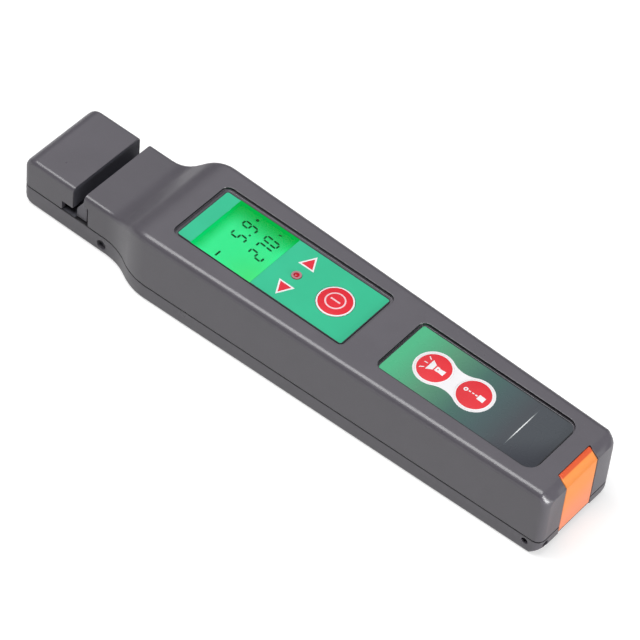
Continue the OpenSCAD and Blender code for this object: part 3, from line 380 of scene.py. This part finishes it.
def shell(name, colour):
    """The mouldings of the case: moulded plastic with painted shade. Its recess walls, upright and inside
    the panels' edges just under the top, are painted dark as the shadow under the rim, and the lips of
    the parting line are painted dark as the shade in its gap; the parting line falls from the flare to the
    body."""
    made = moulded(name, colour, rough=0.30, worn=0.18, gloss=0.8)
    tree = made.node_tree
    shader = tree.nodes["Principled BSDF"]
    place = add(tree, "SeparateXYZ", None, {0: add(tree, "TexCoord").outputs["Object"]}).outputs
    lie = add(tree, "SeparateXYZ", None, {0: add(tree, "NewGeometry").outputs["Normal"]}).outputs[2]
    # painted shade: upright faces inside the recess edges, just under the top, are marked for the shadow
    # ink
    upright = ramp(tree, maths(tree, "ABSOLUTE", lie), 0.6, 0.3)
    within = ramp(tree, maths(tree, "ABSOLUTE", place[1]), RECESS_HALF + RECESS_BLUR, RECESS_HALF)
    high = ramp(tree, place[2], RECESS_LOW, RECESS_LOW + RECESS_BLUR)
    shaded_wall = maths(tree, "MULTIPLY", upright, maths(tree, "MULTIPLY", within, high))
    # painted shade: both lips of the parting line are marked for the shadow ink, as the shade of the gap
    seam = add(tree, "MapRange", None, {0: place[0], 1: SEAM_AT_FLARE[0], 2: SEAM_AT_BODY[0],
                                        3: SEAM_AT_FLARE[1], 4: SEAM_AT_BODY[1]}).outputs[0]
    off = maths(tree, "SUBTRACT", maths(tree, "SUBTRACT", place[2], seam), SEAM_GAP / 2)
    shaded_seam = ramp(tree, maths(tree, "ABSOLUTE", off), SEAM_GAP / 2 + SEAM_SHADE, SEAM_GAP / 2)
    dark = maths(tree, "MAXIMUM", shaded_wall, maths(tree, "MULTIPLY", shaded_seam, SEAM_SHARE))
    plain_colour = shader.inputs["Base Color"].links[0].from_socket
    feed(tree, shader.inputs["Base Color"], blend(tree, dark, plain_colour, SHADOW_INK))
    return made


def film(name, colour, rough=0.28, worn=0.0):
    """Printed film: an even ink under a clear hard skin that fingers have touched."""
    made, tree, shader = fresh(name)
    skin = effect(tree, grain_group, Scale=2600.0, Mottle_Scale=60.0)
    smear = effect(tree, smear_group)["Smear"]
    darker = tuple(c * 0.93 for c in colour[:3]) + (1.0,)
    tone = blend(tree, ramp(tree, skin["Mottle"], MOTTLE_FROM, MOTTLE_TO), darker, colour)
    feed(tree, shader.inputs["Base Color"], tone)
    feed(tree, shader.inputs["Roughness"], maths(tree, "ADD", rough, maths(tree, "MULTIPLY", smear, 0.1)))
    feed(tree, shader.inputs["Normal"], bump(tree, skin["Height"], 0.2, 0.00001))
    return made, tree, shader


def bordered(made, node):
    """A dark line along the cut edge of a printed film, from the size of its CAD node."""
    tree = made.node_tree
    base = tree.nodes["Principled BSDF"].inputs["Base Color"]
    low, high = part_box(node)
    border = effect(tree, border_group, Middle=(low[0] + high[0]) / 2, Half_Length=(high[0] - low[0]) / 2,
                    Half_Width=(high[1] - low[1]) / 2, Corner=BORDER_CORNER, Width=BORDER)["Border"]
    feed(tree, base, blend(tree, border, base.links[0].from_socket, BORDER_INK))
    return made


def metal(name, colour, rough=0.25, lay=(1.0, 1.0, 12.0)):
    """Turned, drawn or plated metal: fine tool lines along one direction and small stains."""
    made, tree, shader = fresh(name)
    place = add(tree, "TexCoord").outputs["Object"]
    along = add(tree, "Mapping", None, {0: place, 3: lay}).outputs[0]
    lines = add(tree, "TexNoise", None, {"Vector": along, "Scale": 1800.0, "Detail": 3.0}).outputs[0]
    skin = effect(tree, grain_group, Scale=3000.0, Mottle_Scale=220.0)
    darker = tuple(c * 0.72 for c in colour[:3]) + (1.0,)
    stained = ramp(tree, skin["Mottle"], 0.35, 0.75)
    feed(tree, shader.inputs["Base Color"], blend(tree, stained, colour, darker))
    feed(tree, shader.inputs["Roughness"], maths(tree, "ADD", rough, maths(tree, "MULTIPLY", lines, 0.15)))
    feed(tree, shader.inputs["Normal"], bump(tree, lines, 0.25, 0.00001))
    shader.inputs["Metallic"].default_value = 1.0
    return made


print("builders ready")

# %% Finishes by slot
KEY_SKIN = dict(rough=0.30, grain=3000.0, depth=0.00001, worn=0.0, dusty=0.03)
finish = {
    "shell_grey": shell("shell_grey", srgb(92, 89, 96)),
    "plunger_grey": moulded("plunger_grey", srgb(120, 118, 125), rough=0.42),
    "trigger_dark": moulded("trigger_dark", srgb(71, 70, 74), rough=0.45),
    "pad_rubber": moulded("pad_rubber", srgb(90, 90, 99), rough=0.7, grain=3500.0, worn=0.1),
    "detector_black": moulded("detector_black", srgb(31, 33, 38), rough=0.4),
    "stem_dark": moulded("stem_dark", srgb(44, 44, 48), rough=0.5),
    "backlight_white": moulded("backlight_white", srgb(222, 240, 228), rough=0.5, worn=0.0),
    "chip_black": moulded("chip_black", srgb(36, 38, 41), rough=0.55, grain=7000.0),
    "led_white": moulded("led_white", srgb(238, 236, 226), rough=0.35, worn=0.0),
    "cover_orange": moulded("cover_orange", srgb(255, 152, 71), rough=0.38, grain=4200.0, worn=0.12,
                            dusty=0.05),
    "key_red": moulded("key_red", srgb(228, 50, 60), **KEY_SKIN),
    "power_red": moulded("power_red", srgb(225, 33, 50), **KEY_SKIN),
    "board_green": film("board_green", srgb(29, 99, 58), rough=0.35)[0],
    "flex_amber": film("flex_amber", srgb(203, 120, 39), rough=0.3)[0],
    "membrane_green": bordered(film("membrane_green", srgb(50, 195, 148))[0], "display_overlay"),
    "sensor_dark": film("sensor_dark", srgb(44, 48, 65), rough=0.12)[0],
    "lens_red": film("lens_red", srgb(161, 26, 44), rough=0.10)[0],
    "steel": metal("steel", (0.62, 0.63, 0.65, 1.0)),
    "cell_sleeve": metal("cell_sleeve", (0.42, 0.44, 0.48, 1.0), rough=0.35),
    "brass": metal("brass", (0.72, 0.52, 0.22, 1.0)),
    "port_metal": metal("port_metal", (0.66, 0.67, 0.69, 1.0), rough=0.18),
}
print(len(finish), "finishes")

# %% [markdown]
# ## Finishes that belong to one part
# The lower membrane is printed with a fade from green to slate, and its tail corner is darkened by a
# painted dark reflection.
# The display glows from its backlight; its far and head edges stay deep green, partly from the backlight's
# falloff and partly as painted shade from the window's edges.
# Both could be pictures, but a fade is only a function of the place on the part.

# %% Control membrane, a fade along the tool
panel_low, panel_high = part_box("control_overlay")
FADE_FROM, FADE_TO = panel_low[0] + 0.0027, panel_low[0] + 0.0427
CORNER_FROM, CORNER_TO = panel_high[0] - 0.0081, panel_high[0] + 0.0079
CORNER_LEAN, CORNER_REFLECTION_SHARE = 1.1, 0.75
made, tree, shader = film("membrane_slate", srgb(90, 191, 142), rough=0.22)
place = add(tree, "SeparateXYZ", None, {0: add(tree, "TexCoord").outputs["Object"]}).outputs
along = add(tree, "MapRange", None, {0: place[0], 1: FADE_FROM, 2: FADE_TO}).outputs[0]
fade = add(tree, "ValToRGB", None, {0: along})
stops = fade.color_ramp.elements
stops[0].color, stops[1].color = srgb(78, 182, 133), srgb(73, 78, 84)
for share, colour in ((0.28, srgb(86, 148, 116)), (0.58, srgb(69, 107, 99)), (0.78, srgb(72, 93, 95))):
    stops.new(share).color = colour
# painted reflection: the near tail corner is darkened, along a slanted edge, as a dark reflection on the
# glossy film
toward_corner = maths(tree, "SUBTRACT", place[0], maths(tree, "MULTIPLY", place[1], CORNER_LEAN))
corner = ramp(tree, toward_corner, CORNER_FROM, CORNER_TO)
painted_reflection = blend(tree, maths(tree, "MULTIPLY", corner, CORNER_REFLECTION_SHARE), fade.outputs[0], srgb(46, 48, 58))
feed(tree, shader.inputs["Base Color"], painted_reflection)
finish["membrane_slate"] = bordered(made, "control_overlay")
print("fade from", FADE_FROM, "to", FADE_TO)

# %% Clear window, lit display, lamp and signal lens
made, tree, shader = fresh("window_clear")
smear = effect(tree, smear_group, Scale=90.0)["Smear"]
shader.inputs["Base Color"].default_value = (0.96, 1.0, 0.97, 1.0)
shader.inputs["Transmission Weight"].default_value = 1.0
shader.inputs["IOR"].default_value = 1.45
shader.inputs["Specular Tint"].default_value = (0.06, 0.06, 0.06, 1.0)
feed(tree, shader.inputs["Roughness"], maths(tree, "MULTIPLY", smear, 0.04))
finish["window_clear"] = made

made, tree, shader = fresh("lamp_clear")
place = add(tree, "TexCoord").outputs["Object"]
ribs = add(tree, "TexWave", None, {"Vector": place, "Scale": 900.0}).outputs[1]
shader.inputs["Base Color"].default_value = (0.97, 0.98, 0.96, 1.0)
shader.inputs["Transmission Weight"].default_value = 0.9
feed(tree, shader.inputs["Roughness"], maths(tree, "ADD", 0.05, maths(tree, "MULTIPLY", ribs, 0.08)))
finish["lamp_clear"] = made

made, tree, shader = fresh("lcd_green")
place = add(tree, "SeparateXYZ", None, {0: add(tree, "TexCoord").outputs["Object"]}).outputs
window_low, window_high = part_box("lcd_window")
HEAD_BAND, FAR_BAND = (0.0004, 0.0050), (0.0002, 0.0105)
NEAR_ALONG, NEAR_ACROSS, NEAR_SHARE = (0.0076, 0.0256), (0.004, -0.014), 0.75
DRIFT_SHARE, GLASS_SHADE, GLASS_GLOW = 0.10, 0.8, 0.88
# partly painted shade: the green deepens at the head and far edges, where the window's edges shade the
# glass, on top of the backlight's falloff
from_head = ramp(tree, place[0], window_low[0] + HEAD_BAND[0], window_low[0] + HEAD_BAND[1])
from_far = ramp(tree, place[1], window_high[1] - FAR_BAND[0], window_high[1] - FAR_BAND[1])
drift = effect(tree, grain_group, Scale=3000.0, Mottle_Scale=70.0)["Mottle"]
glow = blend(tree, from_head, srgb(0, 200, 98), srgb(60, 232, 146))
glow = blend(tree, from_far, srgb(0, 172, 62), glow)
along = ramp(tree, place[0], window_low[0] + NEAR_ALONG[0], window_low[0] + NEAR_ALONG[1])
to_near = maths(tree, "MULTIPLY", along, ramp(tree, place[1], NEAR_ACROSS[0], NEAR_ACROSS[1]))
glow = blend(tree, maths(tree, "MULTIPLY", to_near, NEAR_SHARE), glow, srgb(80, 218, 112))
glow = blend(tree, maths(tree, "MULTIPLY", drift, DRIFT_SHARE), glow, srgb(0, 214, 112))
feed(tree, shader.inputs["Base Color"], blend(tree, GLASS_SHADE, glow, (0.0, 0.0, 0.0, 1.0)))
feed(tree, shader.inputs["Emission Color"], glow)
shader.inputs["Emission Strength"].default_value = GLASS_GLOW
shader.inputs["Specular IOR Level"].default_value = 0.03
shader.inputs["Roughness"].default_value = 0.35
finish["lcd_green"] = made
print("finishes now", len(finish))

# %% Cover, with painted light paler towards its foot and painted shade at its lip
tree = finish["cover_orange"].node_tree
base = tree.nodes["Principled BSDF"].inputs["Base Color"]
place = add(tree, "SeparateXYZ", None, {0: add(tree, "TexCoord").outputs["Object"]}).outputs
COVER_PALE_TOP, COVER_PALE_FOOT = 0.0205, 0.0060
# painted light: the lit end face is washed paler and pinker towards the cover's foot
painted_pale = ramp(tree, place[2], COVER_PALE_TOP, COVER_PALE_FOOT)
COVER_LIP_LOW, COVER_LIP_HIGH = 0.0257, 0.0261
# painted shade: the rounded lip at the cover's top is darkened as the shade it holds
lip = ramp(tree, place[2], COVER_LIP_LOW, COVER_LIP_HIGH)
cover_painted_pale = blend(tree, painted_pale, base.links[0].from_socket, srgb(255, 153, 112))
feed(tree, base, blend(tree, lip, cover_painted_pale, srgb(220, 90, 52)))
print("cover fades below", COVER_PALE_TOP / MM, "mm")

# %% Every CAD node takes its finish
for name, node in nodes.items():
    for held in node.material_slots:
        slot_name = held.material.name.split(".")[0]
        held.material = finish[slot_name]
    node["slot_name"] = slot_name
print("dressed", len(nodes), "nodes")

# %% [markdown]
# ## Soft edges for the mouldings
# A mould leaves no knife edge: every rim and corner of the real shells is rounded by a fifth of
# a millimetre, and that is what catches the light. The CAD solid has sharp rims, and a rounding
# in the shader alone would be gone in the mesh. So each moulded part is copied, its loose
# triangles are merged into whole faces, and a Bevel rounds the edges that are sharp. The orange
# cover is handled more, so its edges are rounded by twice as much.

# %% Moulded parts with soft edges
SOFT_EDGE, COVER_EDGE = 0.00018, 0.00035
SHARP = math.radians(50)
SAME_POINT, SAME_PLANE = 1e-6, math.radians(0.3)


def softened(name, body, width=SOFT_EDGE, steps=2):
    """A merged copy of a CAD node with rounded edges, which stands for the node."""
    shape = bmesh.new()
    shape.from_mesh(nodes[name].data)
    bmesh.ops.remove_doubles(shape, verts=shape.verts, dist=SAME_POINT)
    bmesh.ops.dissolve_limit(shape, angle_limit=SAME_PLANE, verts=shape.verts, edges=shape.edges)
    mesh = bpy.data.meshes.new("soft_" + name)
    shape.to_mesh(mesh)
    shape.free()
    for attribute in ("custom_normal", "sharp_face", "sharp_edge"):
        if attribute in mesh.attributes:
            mesh.attributes.remove(mesh.attributes[attribute])
    mesh.shade_smooth()
    mesh.materials.append(finish[nodes[name]["slot_name"]])
    made = bpy.data.objects.new("soft_" + name, mesh)
    scene.collection.objects.link(made)
    rounding = made.modifiers.new("rounding", "BEVEL")
    rounding.width, rounding.segments = width, steps
    rounding.limit_method, rounding.angle_limit = "ANGLE", SHARP
    rounding.use_clamp_overlap = False
    rounding.miter_outer = "MITER_ARC"
    shading = made.modifiers.new("shading", "WEIGHTED_NORMAL")
    shading.weight = 80
    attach(made, body)
    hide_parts(name)
    return made


for name, body, width in (("upper_shell", "case", SOFT_EDGE), ("lower_shell", "case", SOFT_EDGE),
                          ("head_cap", "case", SOFT_EDGE), ("plunger", "plunger", SOFT_EDGE),
                          ("trigger", "trigger", SOFT_EDGE), ("battery_door", "door", SOFT_EDGE),
                          ("port_cover", "cover", COVER_EDGE)):
    made = softened(name, body, width)
    print(made.name, len(made.data.vertices), "points before rounding")

# %% [markdown]
# ## The spring that gives way
# Under the trigger a coil spring shortens by two fifths when the trigger is pulled. A rigid copy
# would be cut by the trigger, and a blend between two bodies would shear it; the coil would have to
# be squashed towards the seat that holds its upper end. Here it is only copied onto the case with a
# mesh of its own, and the CAD node is hidden.

# %% Trigger spring
coil = bpy.data.objects.new("coil_trigger_spring", nodes["trigger_spring"].data.copy())
scene.collection.objects.link(coil)
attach(coil, "case")
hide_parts("trigger_spring")
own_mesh(coil)

# %% [markdown]
# ## Printed marks
# The marks on the membranes and keys are ink. They could be painted by the material, but
# as thin surfaces they stay crisp at any distance and can follow the dome of a key. Each is a
# patch: a grid of points between two curves, given a level by a height function, with a top,
# a bottom and a rim, so that it is a closed skin a few hundredths of a millimetre thick.

# %% Patches and prisms
INK = 0.025
SUNK = 0.02


def circle(centre, radius, count=96):
    """Points centre + radius (cos a, sin a), with a going once round."""
    a = np.linspace(0, 2 * np.pi, count, endpoint=False)
    return np.array(centre) + radius * np.stack([np.cos(a), np.sin(a)], 1)


def arc(centre, radius, start, end, count=24):
    """Points of a circle from one angle in degrees to another."""
    a = np.radians(np.linspace(start, end, count))
    return np.array(centre) + radius * np.stack([np.cos(a), np.sin(a)], 1)


def between(a, b, count=3):
    """The grid (1 - t) a + t b, with t going from 0 to 1 in count steps."""
    t = np.linspace(0, 1, count)[None, :, None]
    return a[:, None] * (1 - t) + b[:, None] * t


def coons(a, b, c, d):
    """The patch inside four curves: a and b run with s at t = 0 and 1, c and d with t at s = 0
    and 1. It is the blend of a and b, plus the blend of c and d, less that of the corners."""
    s = np.linspace(0, 1, len(a))[:, None, None]
    t = np.linspace(0, 1, len(c))[None, :, None]
    sides = (1 - t) * a[:, None] + t * b[:, None]
    ends = (1 - s) * c[None, :] + s * d[None, :]
    corners = (1 - s) * ((1 - t) * a[0] + t * b[0]) + s * ((1 - t) * a[-1] + t * b[-1])
    return sides + ends - corners


def skin_of(grid, height, closed):
    """A closed skin over a grid of plan points: each row of the grid becomes a loop that runs
    out along the top and back along the bottom. Open grids get a cap at both ends."""
    rows, columns = grid.shape[:2]
    level = height(grid)[..., None]
    top = np.concatenate([grid, level + INK], 2)
    bottom = np.concatenate([grid, level - SUNK], 2)[:, ::-1]
    points = np.concatenate([top, bottom], 1).reshape(-1, 3)
    loop = 2 * columns
    r = np.arange(rows if closed else rows - 1)
    r, c = (k.ravel() for k in np.meshgrid(r, np.arange(loop), indexing="ij"))
    after, beside = (r + 1) % rows, (c + 1) % loop
    faces = np.stack([r * loop + c, after * loop + c, after * loop + beside, r * loop + beside], 1).tolist()
    if not closed:
        k = np.arange(columns - 1)
        cap = np.stack([k, k + 1, loop - 2 - k, loop - 1 - k], 1)
        faces += cap.tolist() + (cap[:, ::-1] + (rows - 1) * loop).tolist()
    return points, faces


def prism(outline, low, high):
    """A closed outline carried straight up from one level to another."""
    count = len(outline)
    points = np.concatenate([np.c_[outline, np.full(count, low)], np.c_[outline, np.full(count, high)]])
    k = np.arange(count)
    after = (k + 1) % count
    sides = np.stack([k, after, after + count, k + count], 1).tolist()
    return points, sides + [k[::-1].tolist(), (k + count).tolist()]


def piece(name, parts, body, material):
    """One object from several (points, faces) in millimetres, faces turned outwards."""
    points, faces, start = [], [], 0
    for some_points, some_faces in parts:
        points.append(some_points * MM)
        faces += [[v + start for v in face] for face in some_faces]
        start += len(some_points)
    mesh = bpy.data.meshes.new(name)
    mesh.from_pydata(np.concatenate(points).tolist(), [], faces)
    shape = bmesh.new()
    shape.from_mesh(mesh)
    bmesh.ops.recalc_face_normals(shape, faces=shape.faces)
    shape.to_mesh(mesh)
    shape.free()
    mesh.materials.append(material)
    made = bpy.data.objects.new(name, mesh)
    scene.collection.objects.link(made)
    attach(made, body)
    print(name, len(mesh.polygons), "faces on", body)
    return made


def flat(level):
    """A height function that is the same everywhere."""
    return lambda plan: np.full(plan.shape[:-1], level)


print("patches ready")

# %% Inks
ink_white = film("ink_white", srgb(244, 243, 245), rough=0.3)[0]
ink_rose = film("ink_rose", srgb(246, 206, 212), rough=0.3)[0]
ink_red = film("ink_red", srgb(229, 41, 61), rough=0.3)[0]
ink_ring = film("ink_ring", srgb(188, 129, 139), rough=0.3)[0]
bead_red = film("bead_red", srgb(184, 24, 44), rough=0.08)[0]
ink_segment, tree, shader = film("ink_segment", srgb(8, 86, 40), rough=0.5)
shader.inputs["Specular IOR Level"].default_value = 0.05
FILM_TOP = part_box("display_overlay")[1][2] / MM
print("film top at", round(FILM_TOP, 3), "mm")

# %% Arrows and the ring of the signal light
light_low, light_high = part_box("status_lens")
light_x = (light_low[0] + light_high[0]) / 2 / MM
ARROW_BASE, ARROW_TIP, ARROW_HALF, ARROW_RIM = 4.3, 9.8, 2.95, 0.5


def triangle(side, inset):
    """Base across the tool at a distance from its middle and tip further out, pulled in by an
    inset measured square to each of its three edges."""
    base, tip, half = ARROW_BASE, ARROW_TIP, ARROW_HALF
    lean = math.hypot(tip - base, half)
    tip_in = inset * lean / half
    half_in = (tip - tip_in - base - inset) * half / (tip - base)
    y = np.array([base + inset, base + inset, tip - tip_in]) * side
    return np.stack([light_x + np.array([-half_in, half_in, 0.0]), y], 1)


rims = [skin_of(between(triangle(s, 0.0), triangle(s, ARROW_RIM)), flat(FILM_TOP), True) for s in (-1, 1)]
piece("print_arrow_rims", rims, "case", ink_white)
fills = [prism(triangle(s, ARROW_RIM), FILM_TOP - SUNK, FILM_TOP + INK) for s in (-1, 1)]
piece("print_arrows", fills, "case", ink_red)
LIGHT_TOP = light_high[2] / MM
BEAD_R, BEAD_RISE, RING_OUT = 0.95, 0.4, 1.58
bead_ball = (BEAD_R ** 2 + BEAD_RISE ** 2) / (2 * BEAD_RISE)


def bead_height(plan):
    """Level of the bead's top: the light's face plus a cap of a ball over the bead's radius."""
    reach = ((plan - [light_x, 0.0]) ** 2).sum(-1)
    return LIGHT_TOP + BEAD_RISE - bead_ball + np.sqrt(bead_ball ** 2 - reach)


ring = between(circle((light_x, 0), RING_OUT), circle((light_x, 0), BEAD_R))
piece("print_light_ring", [skin_of(ring, flat(LIGHT_TOP), True)], "case", ink_ring)
bead = between(circle((light_x, 0), BEAD_R), circle((light_x, 0), 0.02), 12)
piece("signal_bead", [skin_of(bead, bead_height, True)], "case", bead_red)

# %% [markdown]
# ## Marks on the keys
# A key's face is a shallow dome, a cap cut from a large ball. A flat mark would sink into it or
# hover over it, so the height function of these patches is the ball itself: the level at a
# distance r from the key's middle is the ball's centre plus the root of R squared less r squared.

# %% Key rings and pictograms
KEY_R, KEY_DOME = 5.85, 0.5
BALL_R = (KEY_R ** 2 + KEY_DOME ** 2) / (2 * KEY_DOME)


def key_place(name):
    """Middle of a key and the level of its top, from the CAD node."""
    low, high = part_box(name)
    return np.array([low[0] + high[0], low[1] + high[1]]) / 2 / MM, high[2] / MM


def dome(centre, top):
    """A height function for marks on a key's dome."""
    return lambda plan: top - BALL_R + np.sqrt(BALL_R ** 2 - ((plan - centre) ** 2).sum(-1))


def bar(start, end, width, count=9):
    """A straight stroke as the grid between its two long sides."""
    start, end = np.array(start, float), np.array(end, float)
    axis = (end - start) / np.linalg.norm(end - start)
    side = np.array([-axis[1], axis[0]]) * width / 2
    line = start + np.linspace(0, 1, count)[:, None] * (end - start)
    return between(line - side, line + side)


def on_key(name, key, closed_grids, open_grids, body, ink=ink_white):
    """Printed marks on a key, given round its middle."""
    centre, top = key_place(key)
    cover = dome(centre, top)
    parts = [skin_of(g + centre, cover, True) for g in closed_grids]
    parts += [skin_of(g + centre, cover, False) for g in open_grids]
    return piece(name, parts, body, ink)


def ring_of(outer, inner, centre=(0, 0), count=96):
    """The grid between two circles."""
    return between(circle(centre, outer, count), circle(centre, inner, count))


def taper(start_x, start_half, end_x, end_half, count):
    """The grid of a shape that runs from one width to another and is the same on both sides."""
    sides = [np.linspace([start_x, s * start_half], [end_x, s * end_half], 9) for s in (-1, 1)]
    return between(sides[0], sides[1], count)


KEY_RIM_OUT, KEY_RIM_IN = 5.84, 5.34
POWER_RING_OUT, POWER_RING_IN, POWER_BAR_HALF, POWER_BAR_WIDTH = 3.27, 2.77, 1.75, 0.55
rim = ring_of(KEY_RIM_OUT, KEY_RIM_IN)
on_key("print_power_rim", "power_button", [rim], [], "power_key")
on_key("print_power_key", "power_button", [ring_of(POWER_RING_OUT, POWER_RING_IN)],
       [bar((-POWER_BAR_HALF, 0), (POWER_BAR_HALF, 0), POWER_BAR_WIDTH)], "power_key", ink_rose)

# A torch: its lamp opens towards the head, and its handle has a small switch left open.
RAY_FROM, RAY_TO, RAY_WIDTH = -3.65, -2.45, 0.32
lamp = taper(-1.75, 2.15, 0.1, 1.05, 9)
square = np.array([[-1, -1], [1, -1], [1, 1], [-1, 1]], float)
handle = between(square * [1.55, 0.92] + [2.1, 0], square * [0.24, 0.24] + [1.35, 0])
rays = [bar((RAY_FROM, y0), (RAY_TO, y1), RAY_WIDTH) for y0, y1 in ((-2.6, -1.75), (0.0, 0.0), (2.6, 1.75))]
on_key("print_torch_key", "torch_button", [rim, handle], [lamp] + rays, "torch_key")

# A laser: a block, three dashes and the spot that they reach.
DASH_LONG, DASH_WIDTH = 0.75, 0.42
SPOT_OUT, SPOT_IN, SPOT_AT = 0.72, 0.30, (-3.0, 0)
dashes = [bar((x, 0), (x + DASH_LONG, 0), DASH_WIDTH) for x in (-1.95, -0.75, 0.45)]
emitter = taper(1.5, 0.95, 3.7, 0.95, 7)
on_key("print_laser_key", "laser_button", [rim, ring_of(SPOT_OUT, SPOT_IN, SPOT_AT, 48)],
       dashes + [emitter], "laser_key")

# %% The white surround of the two lower keys
PANEL_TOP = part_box("control_overlay")[1][2] / MM
RIM_IN, RIM_OUT, WAIST = 5.87, 6.42, 4.45
torch_at, laser_at = key_place("torch_button")[0], key_place("laser_button")[0]
half_pitch = (laser_at[0] - torch_at[0]) / 2
middle = (torch_at + laser_at) / 2
neck_r = (half_pitch ** 2 + WAIST ** 2 - RIM_OUT ** 2) / (2 * (RIM_OUT - WAIST))
neck_y = WAIST + neck_r
turn = math.degrees(math.atan2(neck_y, half_pitch))
lower_side = arc(middle + [0, -neck_y], neck_r, 180 - turn, turn)
upper_side = arc(middle + [0, neck_y], neck_r, turn - 180, -turn)
torch_side = arc(torch_at, RIM_OUT, -turn, turn)
laser_side = arc(laser_at, RIM_OUT, 180 + turn, 180 - turn)
waist = coons(lower_side, upper_side, torch_side, laser_side)
surround = [skin_of(between(circle(p, RIM_OUT), circle(p, RIM_IN)), flat(PANEL_TOP), True)
            for p in (torch_at, laser_at)]
surround.append(skin_of(waist, flat(PANEL_TOP), False))
piece("print_key_surround", surround, "case", ink_white)

# %% The fading line
LINE_X, LINE_HALF, LINE_WIDTH = panel_high[0] / MM - 12.0, 8.6, 0.34
LINE_SOLID = 0.2 * LINE_HALF
y = np.linspace(-LINE_HALF, LINE_HALF, 41)
swell = LINE_WIDTH / 2 * (0.25 + 0.75 * (1 - (y / LINE_HALF) ** 2))
line = between(np.stack([LINE_X - swell, y], 1), np.stack([LINE_X + swell, y], 1))
made, tree, shader = film("ink_fading", srgb(236, 240, 240))
across = add(tree, "SeparateXYZ", None, {0: add(tree, "TexCoord").outputs["Object"]}).outputs[1]
faded = ramp(tree, maths(tree, "ABSOLUTE", across), LINE_SOLID * MM, LINE_HALF * MM)
feed(tree, shader.inputs["Base Color"], blend(tree, faded, srgb(236, 240, 240), srgb(86, 95, 101)))
piece("print_fading_line", [skin_of(line, flat(PANEL_TOP), False)], "case", made)

# %% [markdown]
# ## The display's figures
# The display shows two rows of seven-segment figures and a minus sign, as any meter does. Each
# figure is a set of bars with pointed ends, sheared a little. They lie in the gap between the
# lit glass and the window, so they are seen through the window and shift with it. A frame that
# glows in the display's green, a painted glow on the clear window, hides the dark gasket that
# would show at its edges.

# %% Seven-segment figures
DIGIT_W, DIGIT_H, DIGIT_LEAN, STROKE = 2.6, 5.8, 0.5, 0.62
ENDS = {"a": ((0, 0), (1, 0)), "b": ((1, 0), (1, 0.5)), "c": ((1, 0.5), (1, 1)), "d": ((0, 1), (1, 1)),
        "e": ((0, 0.5), (0, 1)), "f": ((0, 0), (0, 0.5)), "g": ((0, 0.5), (1, 0.5))}
FIGURES = {"5": "afgcd", "9": "abcdfg", "2": "abged", "7": "abc", "0": "abcdef"}
GLASS_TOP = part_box("lcd_glass")[1][2] / MM
SEGMENT_LOW, SEGMENT_HIGH = GLASS_TOP + 0.01, GLASS_TOP + 0.03


def pointed(start, end, width, gap=0.16):
    """A bar with an arrowhead at both ends: six points round the line from start to end."""
    start, end = np.array(start, float), np.array(end, float)
    axis = (end - start) / np.linalg.norm(end - start)
    side = np.array([-axis[1], axis[0]]) * width / 2
    a, b = start + axis * gap, end - axis * gap
    tip = axis * width / 2
    return np.array([a, a + tip + side, b - tip + side, b, b - tip - side, a + tip - side])


def figure(digit, top_x, left_y):
    """Bars of one digit. Its width runs across the tool and its height towards the tail, and
    the lean moves a point back by the share of the height that lies above it."""
    bars = []
    for name in FIGURES[digit]:
        ends = np.array(ENDS[name]) * [DIGIT_W - STROKE, DIGIT_H - STROKE] + STROKE / 2
        plan = pointed(ends[0], ends[1], STROKE)
        x = top_x + plan[:, 1]
        y = left_y + plan[:, 0] - DIGIT_LEAN * plan[:, 1] / DIGIT_H
        bars.append(prism(np.stack([x, y], 1), SEGMENT_LOW, SEGMENT_HIGH))
    return bars


window_x = window_low[0] / MM
upper_row, lower_row = window_x + 5.85, window_x + 14.5
EDGE_GLOW = 1.05
pane = np.array([[window_low[0], window_low[1]], [window_high[0], window_low[1]],
                 [window_high[0], window_high[1]], [window_low[0], window_high[1]]]) / MM
inner_pane = pane + np.array([[1, 1], [-1, 1], [-1, -1], [1, -1]]) * EDGE_GLOW
# painted glow: a frame in the display's glowing finish laid on the window's edge, which is no lamp
painted_glow_frame = skin_of(between(pane, inner_pane), flat(window_high[2] / MM), True)
piece("display_edge_glow", [painted_glow_frame], "case", finish["lcd_green"])

segments = figure("5", upper_row, -0.75) + figure("9", upper_row, 4.35)
segments += figure("2", lower_row, -3.0) + figure("7", lower_row, 0.55) + figure("0", lower_row, 4.1)
marks = [pointed((window_x + 8.6, -10.5), (window_x + 8.6, -7.9), 0.62, 0.0),
         circle((window_x + 10.9, 2.75), 0.36, 20), circle((window_x + 8.65, 9.0), 0.55, 20),
         pointed((window_x + 16.9, 8.8), (window_x + 18.2, 9.2), 0.5, 0.0)]
segments += [prism(m, SEGMENT_LOW, SEGMENT_HIGH) for m in marks]
piece("display_segments", segments, "case", ink_segment)

# %% [markdown]
# ## Check the size
# The dressed pieces should stay inside the CAD box, so the growth of their box over it is printed.

# %% Size
seen_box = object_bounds()
grown = (seen_box[1] - seen_box[0]) - (cad_box[1] - cad_box[0])
print("grown by", [round(v / MM, 3) for v in grown], "mm")
